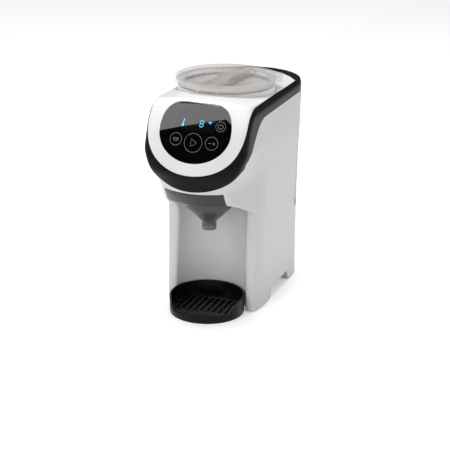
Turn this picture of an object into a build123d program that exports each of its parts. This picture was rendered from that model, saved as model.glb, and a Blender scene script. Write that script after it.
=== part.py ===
"""Countertop baby formula maker: powder above, water behind, mixing funnel over a bottle bay.

Millimetres. +X is to the machine's right as seen from the front, -Y is the front and +Z is up.
The pieces are drawn from the middle between bay and tank. On export each is moved by MIDDLE_Y, so that
the origin is under the middle of the whole machine, on the surface it stands on.
"""
import os
from math import cos, radians, sin, sqrt

from build123d import *

os.makedirs("parts", exist_ok=True)

# ---------------------------------------------------------------- driving dimensions
WALL = 2.6              # moulded shells of the housing
THIN = 2.0              # clear and smoke-grey mouldings
FIT = 0.3               # between mouldings that lie side by side
RUN = 0.5               # between pieces that slide past each other

# powder container: the width of the whole machine follows from its radius
POT_R = 61.8
POT_Y = -12.0
POT_DEPTH = 64.0        # floor of the container below the deck
RIM_PROUD = 6.0         # its rim stands over the deck by this much
RIM_R = POT_R + 4.2
LID_R = RIM_R + 2.0
LID_H = 5.0             # top of the lid over the rim
PLUG_DEPTH = 9.0        # plug of the lid below the rim
GRIP_HALF = 10.0        # half width of the grip in its middle
GRIP_END_HALF = 17.0
TAB_ANGLE = 31.0
TAB_REACH = LID_R + 7.0
OUTLET_R = 9.5
OUTLET_REACH = POT_R - 16.8     # powder outlet in front of the container's axis
WHEEL_R = POT_R - 4.4
WHEEL_T = 6.4

# housing: half widths
DECK_HALF = RIM_R + 0.3
HEAD_HALF = DECK_HALF + 4.2
NECK_HALF = HEAD_HALF - 3.0
FOOT_HALF = HEAD_HALF - 4.0
SKID_IN = FOOT_HALF - 13.5

# levels, from the ground up
GROUND_GAP = 1.5        # height of the rubber feet
CHANNEL_Z = 16.6        # channel across the underside
BAY_TOP = 162.0         # ceiling of the bottle bay
EAVE_Z = BAY_TOP + 2.0
DRAWER_TOP = EAVE_Z + 17.5
HEAD_H = 88.0           # from the drawer up to the trim band's lower edge
BAND_H = 14.0           # height of the trim band along the sides
STEP_RISE = 6.5         # from the shelf behind the deck up to the deck's side edges
CROWN = 6.0             # rise of the deck in its middle
BAND_Z = DRAWER_TOP + HEAD_H
STEP_Z = BAND_Z + BAND_H
DECK_EDGE_Z = STEP_Z + STEP_RISE
DECK_Z = DECK_EDGE_Z + CROWN
DECK_FALL = 0.019       # the deck falls to the rear by this slope
HIGH_Z = DECK_Z + 44.0  # above everything
POT_FLOOR = DECK_Z - POT_DEPTH
POT_RIM = DECK_Z + RIM_PROUD
LID_TOP = POT_RIM + LID_H
PLUG_FLOOR = POT_RIM - PLUG_DEPTH

# depths: the front is measured from the nose, the rear from the rear wall
NOSE_Y = -147.0
REAR_Y = 149.5
SHOULDER_Y = -51.0      # the sides start to narrow towards the front here
EAVE_Y = NOSE_Y + 30.0
SEAT_SIDE_Y = REAR_Y - 58.0     # tank's seat at the sides and in the middle, at the band's level
SEAT_MID_Y = REAR_Y - 32.0
DECK_REAR_Y = SEAT_MID_Y - 13.5     # rounded rear edge of the deck
MIDDLE_Y = (NOSE_Y + REAR_Y + 1.5) / 2      # middle of the whole, gland included

# bottle bay, drawer and funnel
BAY_R = 51.0
BAY_Y = -77.5
LEG_TOE_Y = BAY_Y + 8.5
LEG_KNEE_Y = BAY_Y + 16.0
KNEE_Z = EAVE_Z - 36.0
KNEE_END = (BAY_Y + 6.6, EAVE_Z - 21.2)
FUNNEL_Y = BAY_Y + 5.0
FUNNEL_R = 31.6
DRAWER_HALF = FUNNEL_R + 9.1
DRAWER_BACK_Y = FUNNEL_Y + FUNNEL_R + 4.9
CONE_TOP = EAVE_Z - 18.0
SPOUT_TOP = CONE_TOP - 21.5
SPOUT_BOTTOM = SPOUT_TOP - 10.8
SPOUT_R = 9.65

# underside: channel across the machine and skids behind it
CHANNEL_FRONT_Y = BAY_Y + BAY_R + 13.5
CHANNEL_BACK_Y = 57.5
SKID_Y = CHANNEL_BACK_Y + 7.8

# face panel
FACE_Y = NOSE_Y + 19.0
FACE_Z = BAND_Z - 11.5
FACE_LEAN = 24.0        # degrees back from upright
LENS_HALF = DECK_HALF - 17.9
LENS_TOP = 42.0
LENS_BOTTOM = -36.6
LENS_WAIST = 4.0
BOARD_DEPTH = 12.0      # control board behind the face
BOARD_T = 1.6
BUTTONS = [(-23.6, -9), (0.5, -12), (25, -10), (33.5, 12)]

# drive
SHAFT_R = 4.0
HEX_R = 4.4             # drive end of the shaft, across its corners over two
GEAR_TEETH = 48
PINION_TEETH = 12
GEAR_MODULE = 1.0
GEAR_W = 8.0
MOTOR_R = 17.0
MOTOR_H = 32.0

# water tank
TANK_BOTTOM = 105.0
TANK_TOP = BAND_Z - 13.5
TILT = 10.0 / 160.0     # the tank's seat leans back by this much in its height
SPIGOT_Y = REAR_Y - 22.5
SPIGOT_R = 6.2

# tray
TRAY_R = BAY_R - 1.0
TRAY_Y = BAY_Y - 2.0
TRAY_NOSE = TRAY_Y - TRAY_R
TRAY_WALL = 24.0
TRAY_LIP = 7.5
TRAY_SKIN = 2.4
TRAY_FLOOR = 2.4
TONGUE_Z = 5.0
TONGUE_T = 3.0
TONGUE_W = 24.0
GRATE_Z = TRAY_FLOOR + 4.0

# internals
PLATE_Y = BAY_Y + BAY_R + WALL + 3.4
PLATE_T = 3.0
PUMP_X = 28.0
PUMP_R = 14.0
HOSE_R = 3.6
HOSE_BORE = 2.2
BOARD_SHELF = CHANNEL_Z + 8.4
GLAND_Z = 32.0


# ---------------------------------------------------------------- housing form
# Each station of the housing: level, half width, how far the front reaches, how far the
# corner is pinched in, how far it is set back from the front, and its corner radius.
STATIONS = [
    (-5.0, FOOT_HALF, NOSE_Y + 15.5, 18.5, 21.5, 8.0),
    (TANK_BOTTOM, FOOT_HALF, NOSE_Y + 15.5, 18.5, 21.5, 8.0),
    (EAVE_Z, NECK_HALF, NOSE_Y + 15.5, 18.5, 21.5, 8.0),
    (DRAWER_TOP, NECK_HALF + 0.3, NOSE_Y + 5.5, 21.0, 18.5, 8.0),
    (BAND_Z - 74.5, NECK_HALF + 0.8, NOSE_Y + 3.7, 16.6, 16.3, 10.0),
    (BAND_Z - 63.5, NECK_HALF + 1.5, NOSE_Y, 10.3, 14.0, 12.0),
    (BAND_Z - 51.5, HEAD_HALF - 0.5, NOSE_Y + 5.0, 5.3, 8.0, 14.0),
    (BAND_Z - 35.5, HEAD_HALF, NOSE_Y + 11.5, 0.5, 7.5, 14.0),
    (BAND_Z - 17.5, HEAD_HALF, NOSE_Y + 16.0, 0.5, 7.3, 13.0),
    (BAND_Z, HEAD_HALF, NOSE_Y + 24.0, 0.5, 8.6, 13.0),
    (STEP_Z - 4.5, HEAD_HALF, NOSE_Y + 28.5, 0.5, 11.6, 15.0),
    (DECK_EDGE_Z, DECK_HALF, NOSE_Y + 34.5, 0.5, 16.0, 20.0),
    (DECK_Z - 1.5, DECK_HALF, NOSE_Y + 40.5, 0.5, 19.0, 24.0),
    (DECK_Z + 2.0, DECK_HALF, NOSE_Y + 51.0, 0.5, 21.0, 28.0),
]


def station(level, half, front, pinch, setback, corner, inset):
    """One level outline of the housing, moved in by inset."""
    side = half - inset
    nose = front + inset
    tip = side - pinch
    tail_y = REAR_Y - half
    drop = inset if level > BAND_Z else 0
    with BuildSketch(Plane.XY.offset(level - drop)) as outline:
        with BuildLine():
            ThreePointArc((-tip, nose + setback), (0, nose), (tip, nose + setback))
            Polyline((tip, nose + setback), (side, SHOULDER_Y), (side, tail_y))
            ThreePointArc((side, tail_y), (0, REAR_Y - inset), (-side, tail_y))
            Polyline((-side, tail_y), (-side, SHOULDER_Y), (-tip, nose + setback))
        make_face()
        fillet(outline.vertices().sort_by(Axis.Y)[:2], corner - inset)
    return outline.sketch


def seat_arc(shift, top):
    """Everything behind the leaning seat of the tank, above its foot."""
    reach = HEAD_HALF + 14
    sag = SEAT_MID_Y - SEAT_SIDE_Y
    radius = (HEAD_HALF ** 2 + sag ** 2) / (2 * sag)
    foot = TANK_BOTTOM - BAND_Z
    middle = SEAT_MID_Y + TILT * foot + shift
    edge = middle - radius + sqrt(radius ** 2 - reach ** 2)
    with BuildPart() as block:
        with BuildSketch(Plane.XY.offset(TANK_BOTTOM)) as plan:
            with BuildLine():
                ThreePointArc((reach, edge), (0, middle), (-reach, edge))
                Polyline((-reach, edge), (-reach, REAR_Y + 90), (reach, REAR_Y + 90), (reach, edge))
            make_face()
        extrude(plan.sketch, amount=top - TANK_BOTTOM, dir=(0, TILT, 1))
    return block.part


def deck_plan(level, inset):
    """Outline of the deck with its rounded rear edge, moved in by inset."""
    half = HEAD_HALF + 1.5 - inset
    rear = DECK_REAR_Y - inset
    with BuildSketch(Plane.XY.offset(level)) as plan:
        with BuildLine():
            right = Bezier((0, rear), (half / 2, rear), (half - 14, rear - 7), (half, rear - 38))
            Polyline(right @ 1, (half, -200), (-half, -200), (-half, rear - 38))
            Bezier((-half, rear - 38), (14 - half, rear - 7), (-half / 2, rear), (0, rear))
        make_face()
    return plan.sketch


def deck_step(inset):
    """What the housing lacks behind the rounded rear edge of its deck."""
    with BuildPart() as step:
        with BuildSketch(Plane.XY.offset(STEP_Z - inset)):
            Rectangle(200, 400)
        extrude(amount=60)
        extrude(deck_plan(STEP_Z - inset - 10, inset), amount=90, mode=Mode.SUBTRACT)
    return step.part


def casing(inset):
    """The closed form of the whole housing, moved in by inset."""
    edge = DECK_EDGE_Z - inset + DECK_FALL * (200 - 100)
    with BuildPart() as form:
        loft([station(*row, inset) for row in STATIONS], ruled=True)
        with BuildSketch(Plane.XZ.offset(200)) as front_view:
            with BuildLine():
                crown = ThreePointArc(
                    (-DECK_HALF, edge), (0, edge + CROWN), (DECK_HALF, edge)
                )
                right = Line(crown @ 1, (HEAD_HALF + 20, edge - 2))
                left = Line(crown @ 0, (-HEAD_HALF - 20, edge - 2))
                Polyline(right @ 1, (HEAD_HALF + 20, -20), (-HEAD_HALF - 20, -20), left @ 1)
            make_face()
        extrude(front_view.sketch, amount=400, dir=(0, 1, -DECK_FALL), mode=Mode.INTERSECT)
        add(deck_step(inset), mode=Mode.SUBTRACT)
    return form.part


def bay(grow):
    """The bottle bay: a C seen from the side, with a round niche behind it."""
    with BuildPart() as room:
        with BuildSketch(Plane.YZ):
            with BuildLine():
                shin = Line((LEG_TOE_Y, -20), (LEG_KNEE_Y, KNEE_Z))
                knee = TangentArc(shin @ 1, KNEE_END, tangent=shin % 1)
                Polyline(knee @ 1, (EAVE_Y, EAVE_Z), (-220, EAVE_Z), (-220, -20), shin @ 0)
            make_face()
            if grow:
                offset(amount=grow, kind=Kind.INTERSECTION)
        extrude(amount=100, both=True)
        with BuildSketch(Plane.XY.offset(-20)):
            with Locations((0, BAY_Y)):
                Circle(BAY_R + grow)
        extrude(amount=BAY_TOP + 20 + grow)
    return room.part


def hull(inset):
    """The housing without the bay and the tank's place, moved in by inset."""
    with BuildPart() as form:
        add(casing(inset))
        add(bay(inset), mode=Mode.SUBTRACT)
        with Locations((0, -inset, -inset)):
            add(seat_arc(0, DECK_Z + 60), mode=Mode.SUBTRACT)
    return form.part


def underside(grow):
    """The room under the machine: the gap at the feet, the channel and the space between the skids."""
    with BuildPart() as room:
        with BuildSketch(Plane.YZ):
            with BuildLine():
                Polyline(
                    (-240, -60),
                    (-240, GROUND_GAP),
                    (CHANNEL_FRONT_Y, GROUND_GAP),
                    (CHANNEL_FRONT_Y + 4, CHANNEL_Z - 6),
                    (CHANNEL_FRONT_Y + 8, CHANNEL_Z),
                    (CHANNEL_BACK_Y, CHANNEL_Z),
                    (SKID_Y, GROUND_GAP),
                    (240, GROUND_GAP),
                    (240, -60),
                    close=True,
                )
            make_face()
            if grow:
                offset(amount=grow, kind=Kind.INTERSECTION)
        extrude(amount=100, both=True)
        with BuildSketch(Plane.XY.offset(-60)):
            with Locations((0, CHANNEL_FRONT_Y + 8 - grow)):
                Rectangle(2 * (SKID_IN + grow), 240, align=(Align.CENTER, Align.MIN))
        extrude(amount=60 + CHANNEL_Z + grow)
    return room.part


def head_region():
    """The cap that the mask and the trim band make: inside a U from the front, above an S from the side."""
    half = HEAD_HALF + 1.5
    keel = DRAWER_TOP + 3
    brow = FACE_Z + 4
    with BuildPart() as cap:
        with BuildSketch(Plane.XZ.offset(-220)):
            with BuildLine():
                right = Bezier((0, keel), (half - 28, keel), (half, keel + 25.5), (half, FACE_Z))
                rise = Line(right @ 1, (half + 18, brow))
                top = Polyline(rise @ 1, (half + 18, HIGH_Z), (-half - 18, HIGH_Z), (-half - 18, brow))
                drop = Line(top @ 1, (-half, FACE_Z))
                Bezier(drop @ 1, (-half, keel + 25.5), (28 - half, keel), (0, keel))
            make_face()
        extrude(amount=440)
        with BuildSketch(Plane.YZ):
            with BuildLine():
                sweep_up = Bezier(
                    (NOSE_Y + 29, BAND_Z - 48), (NOSE_Y + 55, BAND_Z - 24.5),
                    (NOSE_Y + 63, BAND_Z), (NOSE_Y + 93, BAND_Z)
                )
                Polyline(
                    sweep_up @ 1, (220, BAND_Z), (220, HIGH_Z), (-220, HIGH_Z), (-220, BAY_TOP - 12),
                    (NOSE_Y + 29, BAY_TOP - 12), sweep_up @ 0
                )
            make_face()
        extrude(amount=100, both=True, mode=Mode.INTERSECT)
    return cap.part


def mask_region():
    """The front mask and the deck: a U from the front, ending at the deck's rounded rear edge."""
    half = DECK_HALF
    keel = DRAWER_TOP + 25.5
    brow = BAND_Z - 1.5
    with BuildPart() as cap:
        with BuildSketch(Plane.XZ.offset(-220)):
            with BuildLine():
                right = Bezier((0, keel), (half - 26.3, keel), (half, keel + 21), (half, brow))
                Polyline(right @ 1, (half, HIGH_Z), (-half, HIGH_Z), (-half, brow))
                Bezier((-half, brow), (-half, keel + 21), (26.3 - half, keel), (0, keel))
            make_face()
        extrude(amount=440)
        extrude(deck_plan(BAY_TOP - 12, 0), amount=200, mode=Mode.INTERSECT)
    return cap.part


FACE = Plane(
    origin=(0, FACE_Y, FACE_Z),
    x_dir=(1, 0, 0),
    z_dir=(0, -cos(radians(FACE_LEAN)), sin(radians(FACE_LEAN))),
)


def lens_block(play):
    """A bar through the face with the outline of the control lens, smaller by play."""
    with BuildPart() as bar:
        with BuildSketch(FACE.offset(-30)):
            half = LENS_HALF - play
            top = LENS_TOP - play
            low = LENS_BOTTOM + play
            brow = LENS_HALF - 8.4 - play / 2
            with BuildLine():
                Bezier((0, low), (LENS_HALF - 21.4, low), (half, low + 18.5), (half, LENS_WAIST))
                Bezier((half, LENS_WAIST), (half, top - 16), (brow, top), (brow - 20, top))
                Line((brow - 20, top), (20 - brow, top))
                Bezier((20 - brow, top), (-brow, top), (-half, top - 16), (-half, LENS_WAIST))
                Bezier((-half, LENS_WAIST), (-half, low + 18.5), (21.4 - LENS_HALF, low), (0, low))
            make_face()
        extrude(amount=60)
    return bar.part


def spur_gear(teeth, width, bottom, centre, bore, turn=0.0):
    """A spur gear with straight-flanked teeth and rounded-off tips."""
    pitch = teeth * GEAR_MODULE / 2
    with BuildPart() as gear:
        with BuildSketch(Plane.XY.offset(bottom)):
            with Locations(centre):
                Circle(pitch - 1.25 * GEAR_MODULE)
            with Locations(Location((centre[0], centre[1], 0), (0, 0, turn))):
                with PolarLocations(0, teeth):
                    with BuildLine(mode=Mode.PRIVATE) as flank:
                        Polyline(
                            (pitch - 1.6 * GEAR_MODULE, -1.0 * GEAR_MODULE),
                            (pitch, -0.70 * GEAR_MODULE),
                            (pitch + 0.9 * GEAR_MODULE, -0.32 * GEAR_MODULE),
                            (pitch + 0.9 * GEAR_MODULE, 0.32 * GEAR_MODULE),
                            (pitch, 0.70 * GEAR_MODULE),
                            (pitch - 1.6 * GEAR_MODULE, 1.0 * GEAR_MODULE),
                            close=True,
                        )
                    add(make_face(flank.edges(), mode=Mode.PRIVATE))
            with Locations(centre):
                Circle(bore, mode=Mode.SUBTRACT)
        extrude(amount=width)
    return gear.part


OUTER = casing(0)
SHELL_OUT = hull(0)
SHELL_IN = hull(WALL)
HEAD = head_region()
MASK = mask_region()
UNDER = underside(0)
WELL_R = POT_R + RUN
WELL_FLOOR_TOP = POT_FLOOR - FIT
WELL_FLOOR = WELL_FLOOR_TOP - 3.0
SCREW_SPOTS = [
    (6 - FOOT_HALF, -30, GROUND_GAP), (FOOT_HALF - 6, -30, GROUND_GAP),
    (6 - FOOT_HALF, SKID_Y + 10.7, GROUND_GAP), (FOOT_HALF - 6, SKID_Y + 10.7, GROUND_GAP),
    (-24, REAR_Y - 11, CHANNEL_Z), (24, REAR_Y - 11, CHANNEL_Z),
]
BOSS_H = 22.0
POWER_Y = CHANNEL_BACK_Y - 21.5     # middle of the power board
BOSS_R = 4.6
SCREW_R = 1.4

with BuildPart() as shell:
    add(SHELL_OUT)
    add(SHELL_IN, mode=Mode.SUBTRACT)

# ---------------------------------------------------------------- housing pieces
with BuildPart() as body_shell:
    add(shell.part)
    add(HEAD, mode=Mode.SUBTRACT)
    add(UNDER, mode=Mode.SUBTRACT)
    # drawer opening, from the front back over the niche
    with BuildSketch(Plane.XY.offset(BAY_TOP - 1)):
        with Locations((0, DRAWER_BACK_Y)):
            Rectangle(2 * DRAWER_HALF, 140, align=(Align.CENTER, Align.MAX))
    extrude(amount=DRAWER_TOP + RUN - BAY_TOP + 1, mode=Mode.SUBTRACT)
    # slot for the tongue of the tray
    with Locations((0, BAY_Y + BAY_R, TONGUE_Z + TONGUE_T / 2)):
        Box(TONGUE_W + 2 * RUN, 14, TONGUE_T + 2 * FIT, mode=Mode.SUBTRACT)
    # socket of the tank
    with Locations((0, SPIGOT_Y, TANK_BOTTOM)):
        Cylinder(SPIGOT_R + 2.6, 12, mode=Mode.SUBTRACT)
    # gland of the mains lead
    with Locations(Location((0, REAR_Y, GLAND_Z), (90, 0, 0))):
        Cylinder(6.0, 16, mode=Mode.SUBTRACT)
    for x, y, level in SCREW_SPOTS:
        with BuildSketch(Plane.XY.offset(level + WALL + FIT)):
            with Locations((x, y)):
                Circle(BOSS_R)
        extrude(amount=BOSS_H)
        with BuildSketch(Plane.XY.offset(level)):
            with Locations((x, y)):
                Circle(SCREW_R + 0.05)
        extrude(amount=BOSS_H, mode=Mode.SUBTRACT)
body_shell.part.label = "body_shell"

with BuildPart() as front_mask:
    add(shell.part)
    add(HEAD, mode=Mode.INTERSECT)
    add(MASK, mode=Mode.INTERSECT)
    add(lens_block(0), mode=Mode.SUBTRACT)
    with BuildSketch(Plane.XY.offset(DECK_EDGE_Z - 12)):
        with Locations((0, POT_Y)):
            Circle(WELL_R + THIN + FIT)
    extrude(amount=40, mode=Mode.SUBTRACT)
    # posts that carry the control board
    with BuildPart(mode=Mode.PRIVATE) as posts:
        with BuildSketch(FACE.offset(BOARD_T - BOARD_DEPTH)):
            with Locations(*[
                (side * (LENS_HALF - gap), level)
                for side in (-1, 1) for gap, level in ((7.9, LENS_BOTTOM + 2.6), (5.4, LENS_TOP - 5))
            ]):
                Circle(2.6)
        extrude(amount=20)
        add(casing(WALL - 0.2), mode=Mode.INTERSECT)
    add(posts.part)
front_mask.part.label = "front_mask"

with BuildPart() as trim_band:
    add(shell.part)
    add(HEAD, mode=Mode.INTERSECT)
    add(MASK, mode=Mode.SUBTRACT)
trim_band.part.label = "trim_band"

with BuildPart() as control_lens:
    add(lens_block(0.15))
    add(casing(THIN), mode=Mode.SUBTRACT)
    add(OUTER, mode=Mode.INTERSECT)
control_lens.part.label = "control_lens"

with BuildPart() as base_plate:
    add(hull(WALL + FIT))
    add(underside(WALL), mode=Mode.INTERSECT)
    add(UNDER, mode=Mode.SUBTRACT)
    # standoffs of the power board
    with BuildSketch(Plane.XY.offset(CHANNEL_Z)):
        with Locations((0, POWER_Y)):
            with GridLocations(68, 28, 2, 2):
                Circle(3.0)
    extrude(amount=BOARD_SHELF - CHANNEL_Z)
    for x, y, level in SCREW_SPOTS:
        with BuildSketch(Plane.XY.offset(level)):
            with Locations((x, y)):
                Circle(SCREW_R + 0.05)
        extrude(amount=WALL, mode=Mode.SUBTRACT)
        with BuildSketch(Plane.XY.offset(level)):
            with Locations((x, y)):
                Circle(2.9)
        extrude(amount=1.4, mode=Mode.SUBTRACT)
base_plate.part.label = "base_plate"

with BuildPart() as case_screws:
    for x, y, level in SCREW_SPOTS:
        with BuildSketch(Plane.XY.offset(level)):
            with Locations((x, y)):
                Circle(2.8)
        extrude(amount=1.4)
        with BuildSketch(Plane.XY.offset(level)):
            with Locations((x, y)):
                Circle(SCREW_R)
        extrude(amount=16)
        with BuildSketch(Plane.XY.offset(level)):
            with Locations((x, y)):
                Rectangle(3.4, 0.8)
                Rectangle(0.8, 3.4)
        extrude(amount=0.8, mode=Mode.SUBTRACT)
case_screws.part.label = "case_screws"

with BuildPart() as rubber_feet:
    with BuildSketch(Plane.XY):
        with Locations(*[
            (side * (FOOT_HALF - gap), y)
            for side in (-1, 1) for gap, y in ((9.5, SHOULDER_Y + 5), (7.3, REAR_Y - 57.5))
        ]):
            Circle(5.2)
    extrude(amount=GROUND_GAP)
rubber_feet.part.label = "rubber_feet"

# ---------------------------------------------------------------- face panel
with BuildPart() as display_module:
    with BuildSketch(FACE.offset(-BOARD_DEPTH + BOARD_T)):
        with Locations((3.5, 12)):
            Rectangle(42, 20)
    extrude(amount=5)
display_module.part.label = "display_module"

with BuildPart() as control_board:
    with BuildSketch(FACE.offset(-BOARD_DEPTH)):
        with Locations((0, (LENS_TOP + LENS_BOTTOM) / 2 - 2.7)):
            RectangleRounded(2 * LENS_HALF - 2.8, LENS_TOP - LENS_BOTTOM + 1.4, 6)
    extrude(amount=BOARD_T)
    with BuildSketch(FACE.offset(-BOARD_DEPTH)):
        with Locations((-20, -8)):
            Rectangle(16, 16)
        with Locations((22, 14)):
            Rectangle(12, 22)
    extrude(amount=-4)
    add(casing(WALL + RUN), mode=Mode.INTERSECT)
control_board.part.label = "control_board"

with BuildPart() as touch_springs:
    with BuildSketch(FACE.offset(-BOARD_DEPTH + BOARD_T)):
        with Locations(*BUTTONS):
            Circle(4.0)
            Circle(3.0, mode=Mode.SUBTRACT)
    extrude(amount=20)
    add(casing(THIN), mode=Mode.INTERSECT)
touch_springs.part.label = "touch_springs"

# ---------------------------------------------------------------- container well and drive
with BuildPart() as container_well:
    with BuildSketch(Plane.XY.offset(WELL_FLOOR)):
        with Locations((0, POT_Y)):
            Circle(WELL_R + THIN)
    extrude(amount=DECK_Z + 0.3 - WELL_FLOOR)
    with BuildSketch(Plane.XY.offset(WELL_FLOOR_TOP)):
        with Locations((0, POT_Y)):
            Circle(WELL_R)
    extrude(amount=80, mode=Mode.SUBTRACT)
    with BuildSketch(Plane.XY.offset(WELL_FLOOR)):
        with Locations((0, POT_Y)):
            Circle(SHAFT_R + 2.6)
        with Locations((0, POT_Y - OUTLET_REACH)):
            Circle(OUTLET_R)
    extrude(amount=10, mode=Mode.SUBTRACT)
container_well.part.label = "container_well"

with BuildPart() as shaft_bush:
    with BuildSketch(Plane.XY.offset(WELL_FLOOR)):
        with Locations((0, POT_Y)):
            Circle(SHAFT_R + 2.6)
            Circle(SHAFT_R + 0.06, mode=Mode.SUBTRACT)
    extrude(amount=WELL_FLOOR_TOP - WELL_FLOOR)
    with BuildSketch(Plane.XY.offset(WELL_FLOOR - 1.2)):
        with Locations((0, POT_Y)):
            Circle(SHAFT_R + 4.6)
            Circle(SHAFT_R + 0.06, mode=Mode.SUBTRACT)
    extrude(amount=1.2)
shaft_bush.part.label = "shaft_bush"

PITCH = GEAR_TEETH * GEAR_MODULE / 2
PINION_PITCH = PINION_TEETH * GEAR_MODULE / 2
MOTOR_Y = POT_Y + PITCH + PINION_PITCH + 0.15
GEAR_BOTTOM = WELL_FLOOR - 1.2 - 0.5 - GEAR_W
CASE_FLOOR = GEAR_BOTTOM - 1.0 - THIN

with BuildPart() as gearbox_case:
    with BuildSketch(Plane.XY.offset(CASE_FLOOR)):
        with Locations((0, POT_Y)):
            Circle(PITCH + 4.2)
        with Locations((0, MOTOR_Y)):
            Circle(MOTOR_R)
        with Locations((0, (POT_Y + MOTOR_Y) / 2)):
            Rectangle(2 * MOTOR_R, MOTOR_Y - POT_Y)
    extrude(amount=WELL_FLOOR - CASE_FLOOR)
    with BuildSketch(Plane.XY.offset(CASE_FLOOR + THIN)):
        with Locations((0, POT_Y)):
            Circle(PITCH + 2.2)
        with Locations((0, MOTOR_Y)):
            Circle(PINION_PITCH + 3)
        with Locations((0, (POT_Y + MOTOR_Y) / 2)):
            Rectangle(2 * (PINION_PITCH + 3), MOTOR_Y - POT_Y)
    extrude(amount=40, mode=Mode.SUBTRACT)
    with BuildSketch(Plane.XY.offset(CASE_FLOOR)):
        with Locations((0, POT_Y)):
            Circle(SHAFT_R + 0.06)
        with Locations((0, MOTOR_Y)):
            Circle(3.2)
    extrude(amount=THIN, mode=Mode.SUBTRACT)
gearbox_case.part.label = "gearbox_case"

with BuildPart() as drive_gear:
    add(spur_gear(GEAR_TEETH, GEAR_W, GEAR_BOTTOM, (0, POT_Y), SHAFT_R))
drive_gear.part.label = "drive_gear"

HEX_TOP = POT_FLOOR + 16
with BuildPart() as drive_shaft:
    with BuildSketch(Plane.XY.offset(CASE_FLOOR - 1)):
        with Locations((0, POT_Y)):
            Circle(SHAFT_R)
    extrude(amount=POT_FLOOR - CASE_FLOOR + 1)
    with BuildSketch(Plane.XY.offset(POT_FLOOR)):
        with Locations((0, POT_Y)):
            RegularPolygon(HEX_R, 6)
    extrude(amount=HEX_TOP - POT_FLOOR)
drive_shaft.part.label = "drive_shaft"

with BuildPart() as motor_pinion:
    add(spur_gear(PINION_TEETH, GEAR_W, GEAR_BOTTOM, (0, MOTOR_Y), 1.6, 15.0))
    with BuildSketch(Plane.XY.offset(CASE_FLOOR - 2)):
        with Locations((0, MOTOR_Y)):
            Circle(1.6)
    extrude(amount=GEAR_BOTTOM + GEAR_W - CASE_FLOOR + 2)
motor_pinion.part.label = "motor_pinion"

with BuildPart() as gear_motor:
    with BuildSketch(Plane.XY.offset(CASE_FLOOR - MOTOR_H)):
        with Locations((0, MOTOR_Y)):
            Circle(MOTOR_R - 1)
    extrude(amount=MOTOR_H)
    chamfer(gear_motor.edges().sort_by(Axis.Z)[0], 1.5)
    with BuildSketch(Plane.XY.offset(CASE_FLOOR - 3)):
        with Locations((0, MOTOR_Y)):
            Circle(3.0)
    extrude(amount=3, mode=Mode.SUBTRACT)
gear_motor.part.label = "gear_motor"

with BuildPart() as powder_container:
    with BuildSketch(Plane.XY.offset(POT_FLOOR)):
        with Locations((0, POT_Y)):
            Circle(POT_R)
    extrude(amount=POT_RIM - POT_FLOOR)
    with BuildSketch(Plane.XY.offset(DECK_Z + 0.6)):
        with Locations((0, POT_Y)):
            Circle(RIM_R)
    extrude(amount=POT_RIM - DECK_Z - 0.6)
    with BuildSketch(Plane.XY.offset(POT_FLOOR + THIN)):
        with Locations((0, POT_Y)):
            Circle(POT_R - THIN)
    extrude(amount=100, mode=Mode.SUBTRACT)
    with BuildSketch(Plane.XY.offset(POT_FLOOR)):
        with Locations((0, POT_Y)):
            Circle(9.0)
        with Locations((0, POT_Y - OUTLET_REACH)):
            Circle(OUTLET_R)
    extrude(amount=THIN, mode=Mode.SUBTRACT)
powder_container.part.label = "powder_container"

WHEEL_BOTTOM = POT_FLOOR + THIN + FIT
BLADE_BOTTOM = WHEEL_BOTTOM + WHEEL_T
BLADE_H = PLUG_FLOOR - 5 - BLADE_BOTTOM
VANE_H = BLADE_H - 4
VANE_ANGLE = 78.0
HUB_R = 8.4
RING_R = HUB_R + 2.6


def upright(angle):
    """A plane that stands on the wheel and runs outwards from its axis at an angle in degrees."""
    along = (cos(radians(angle)), sin(radians(angle)), 0)
    across = (sin(radians(angle)), -cos(radians(angle)), 0)
    return Plane((0, POT_Y, BLADE_BOTTOM), x_dir=along, z_dir=across)


with BuildPart() as dispensing_wheel:
    with BuildSketch(Plane.XY.offset(WHEEL_BOTTOM)):
        with Locations((0, POT_Y)):
            Circle(WHEEL_R)
            with PolarLocations(OUTLET_REACH, 10):
                Circle(OUTLET_R - 1.5, mode=Mode.SUBTRACT)
            with PolarLocations(OUTLET_REACH - 21, 5):
                SlotOverall(15, 7, rotation=90, mode=Mode.SUBTRACT)
    extrude(amount=WHEEL_T)
    with BuildSketch(Plane.XY.offset(POT_FLOOR + 0.4)):
        with Locations((0, POT_Y)):
            Circle(HUB_R)
    extrude(amount=HEX_TOP + 2.4 - POT_FLOOR)
    with BuildSketch(Plane.XY.offset(POT_FLOOR)):
        with Locations((0, POT_Y)):
            RegularPolygon(HEX_R + 0.4, 6)
    extrude(amount=HEX_TOP + 0.4 - POT_FLOOR, mode=Mode.SUBTRACT)
    # fins that stand up from the wheel, tall at the container's wall
    for turn in range(4):
        with BuildSketch(upright(VANE_ANGLE + 90 * turn)):
            Polygon(
                (RING_R + 1.5, -0.5), (WHEEL_R - 3.5, -0.5), (WHEEL_R - 3.5, VANE_H - 3),
                (WHEEL_R - 6.5, VANE_H), (RING_R + 1.5, 5), align=None
            )
        extrude(amount=0.8, both=True)
dispensing_wheel.part.label = "dispensing_wheel"

with BuildPart() as stirrer:
    with BuildSketch(Plane.XY.offset(BLADE_BOTTOM)):
        with Locations((0, POT_Y)):
            Circle(RING_R)
            Circle(HUB_R, mode=Mode.SUBTRACT)
    extrude(amount=22)
    for turn in range(4):
        with BuildSketch(upright(45 + 90 * turn)):
            Polygon(
                (RING_R - 0.8, 0), (WHEEL_R - 5, 0), (WHEEL_R - 9, 12), (WHEEL_R - 22, BLADE_H),
                (RING_R + 6, BLADE_H - 6), (RING_R - 0.8, 21), align=None
            )
        extrude(amount=1.0, both=True)
stirrer.part.label = "stirrer"

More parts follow.
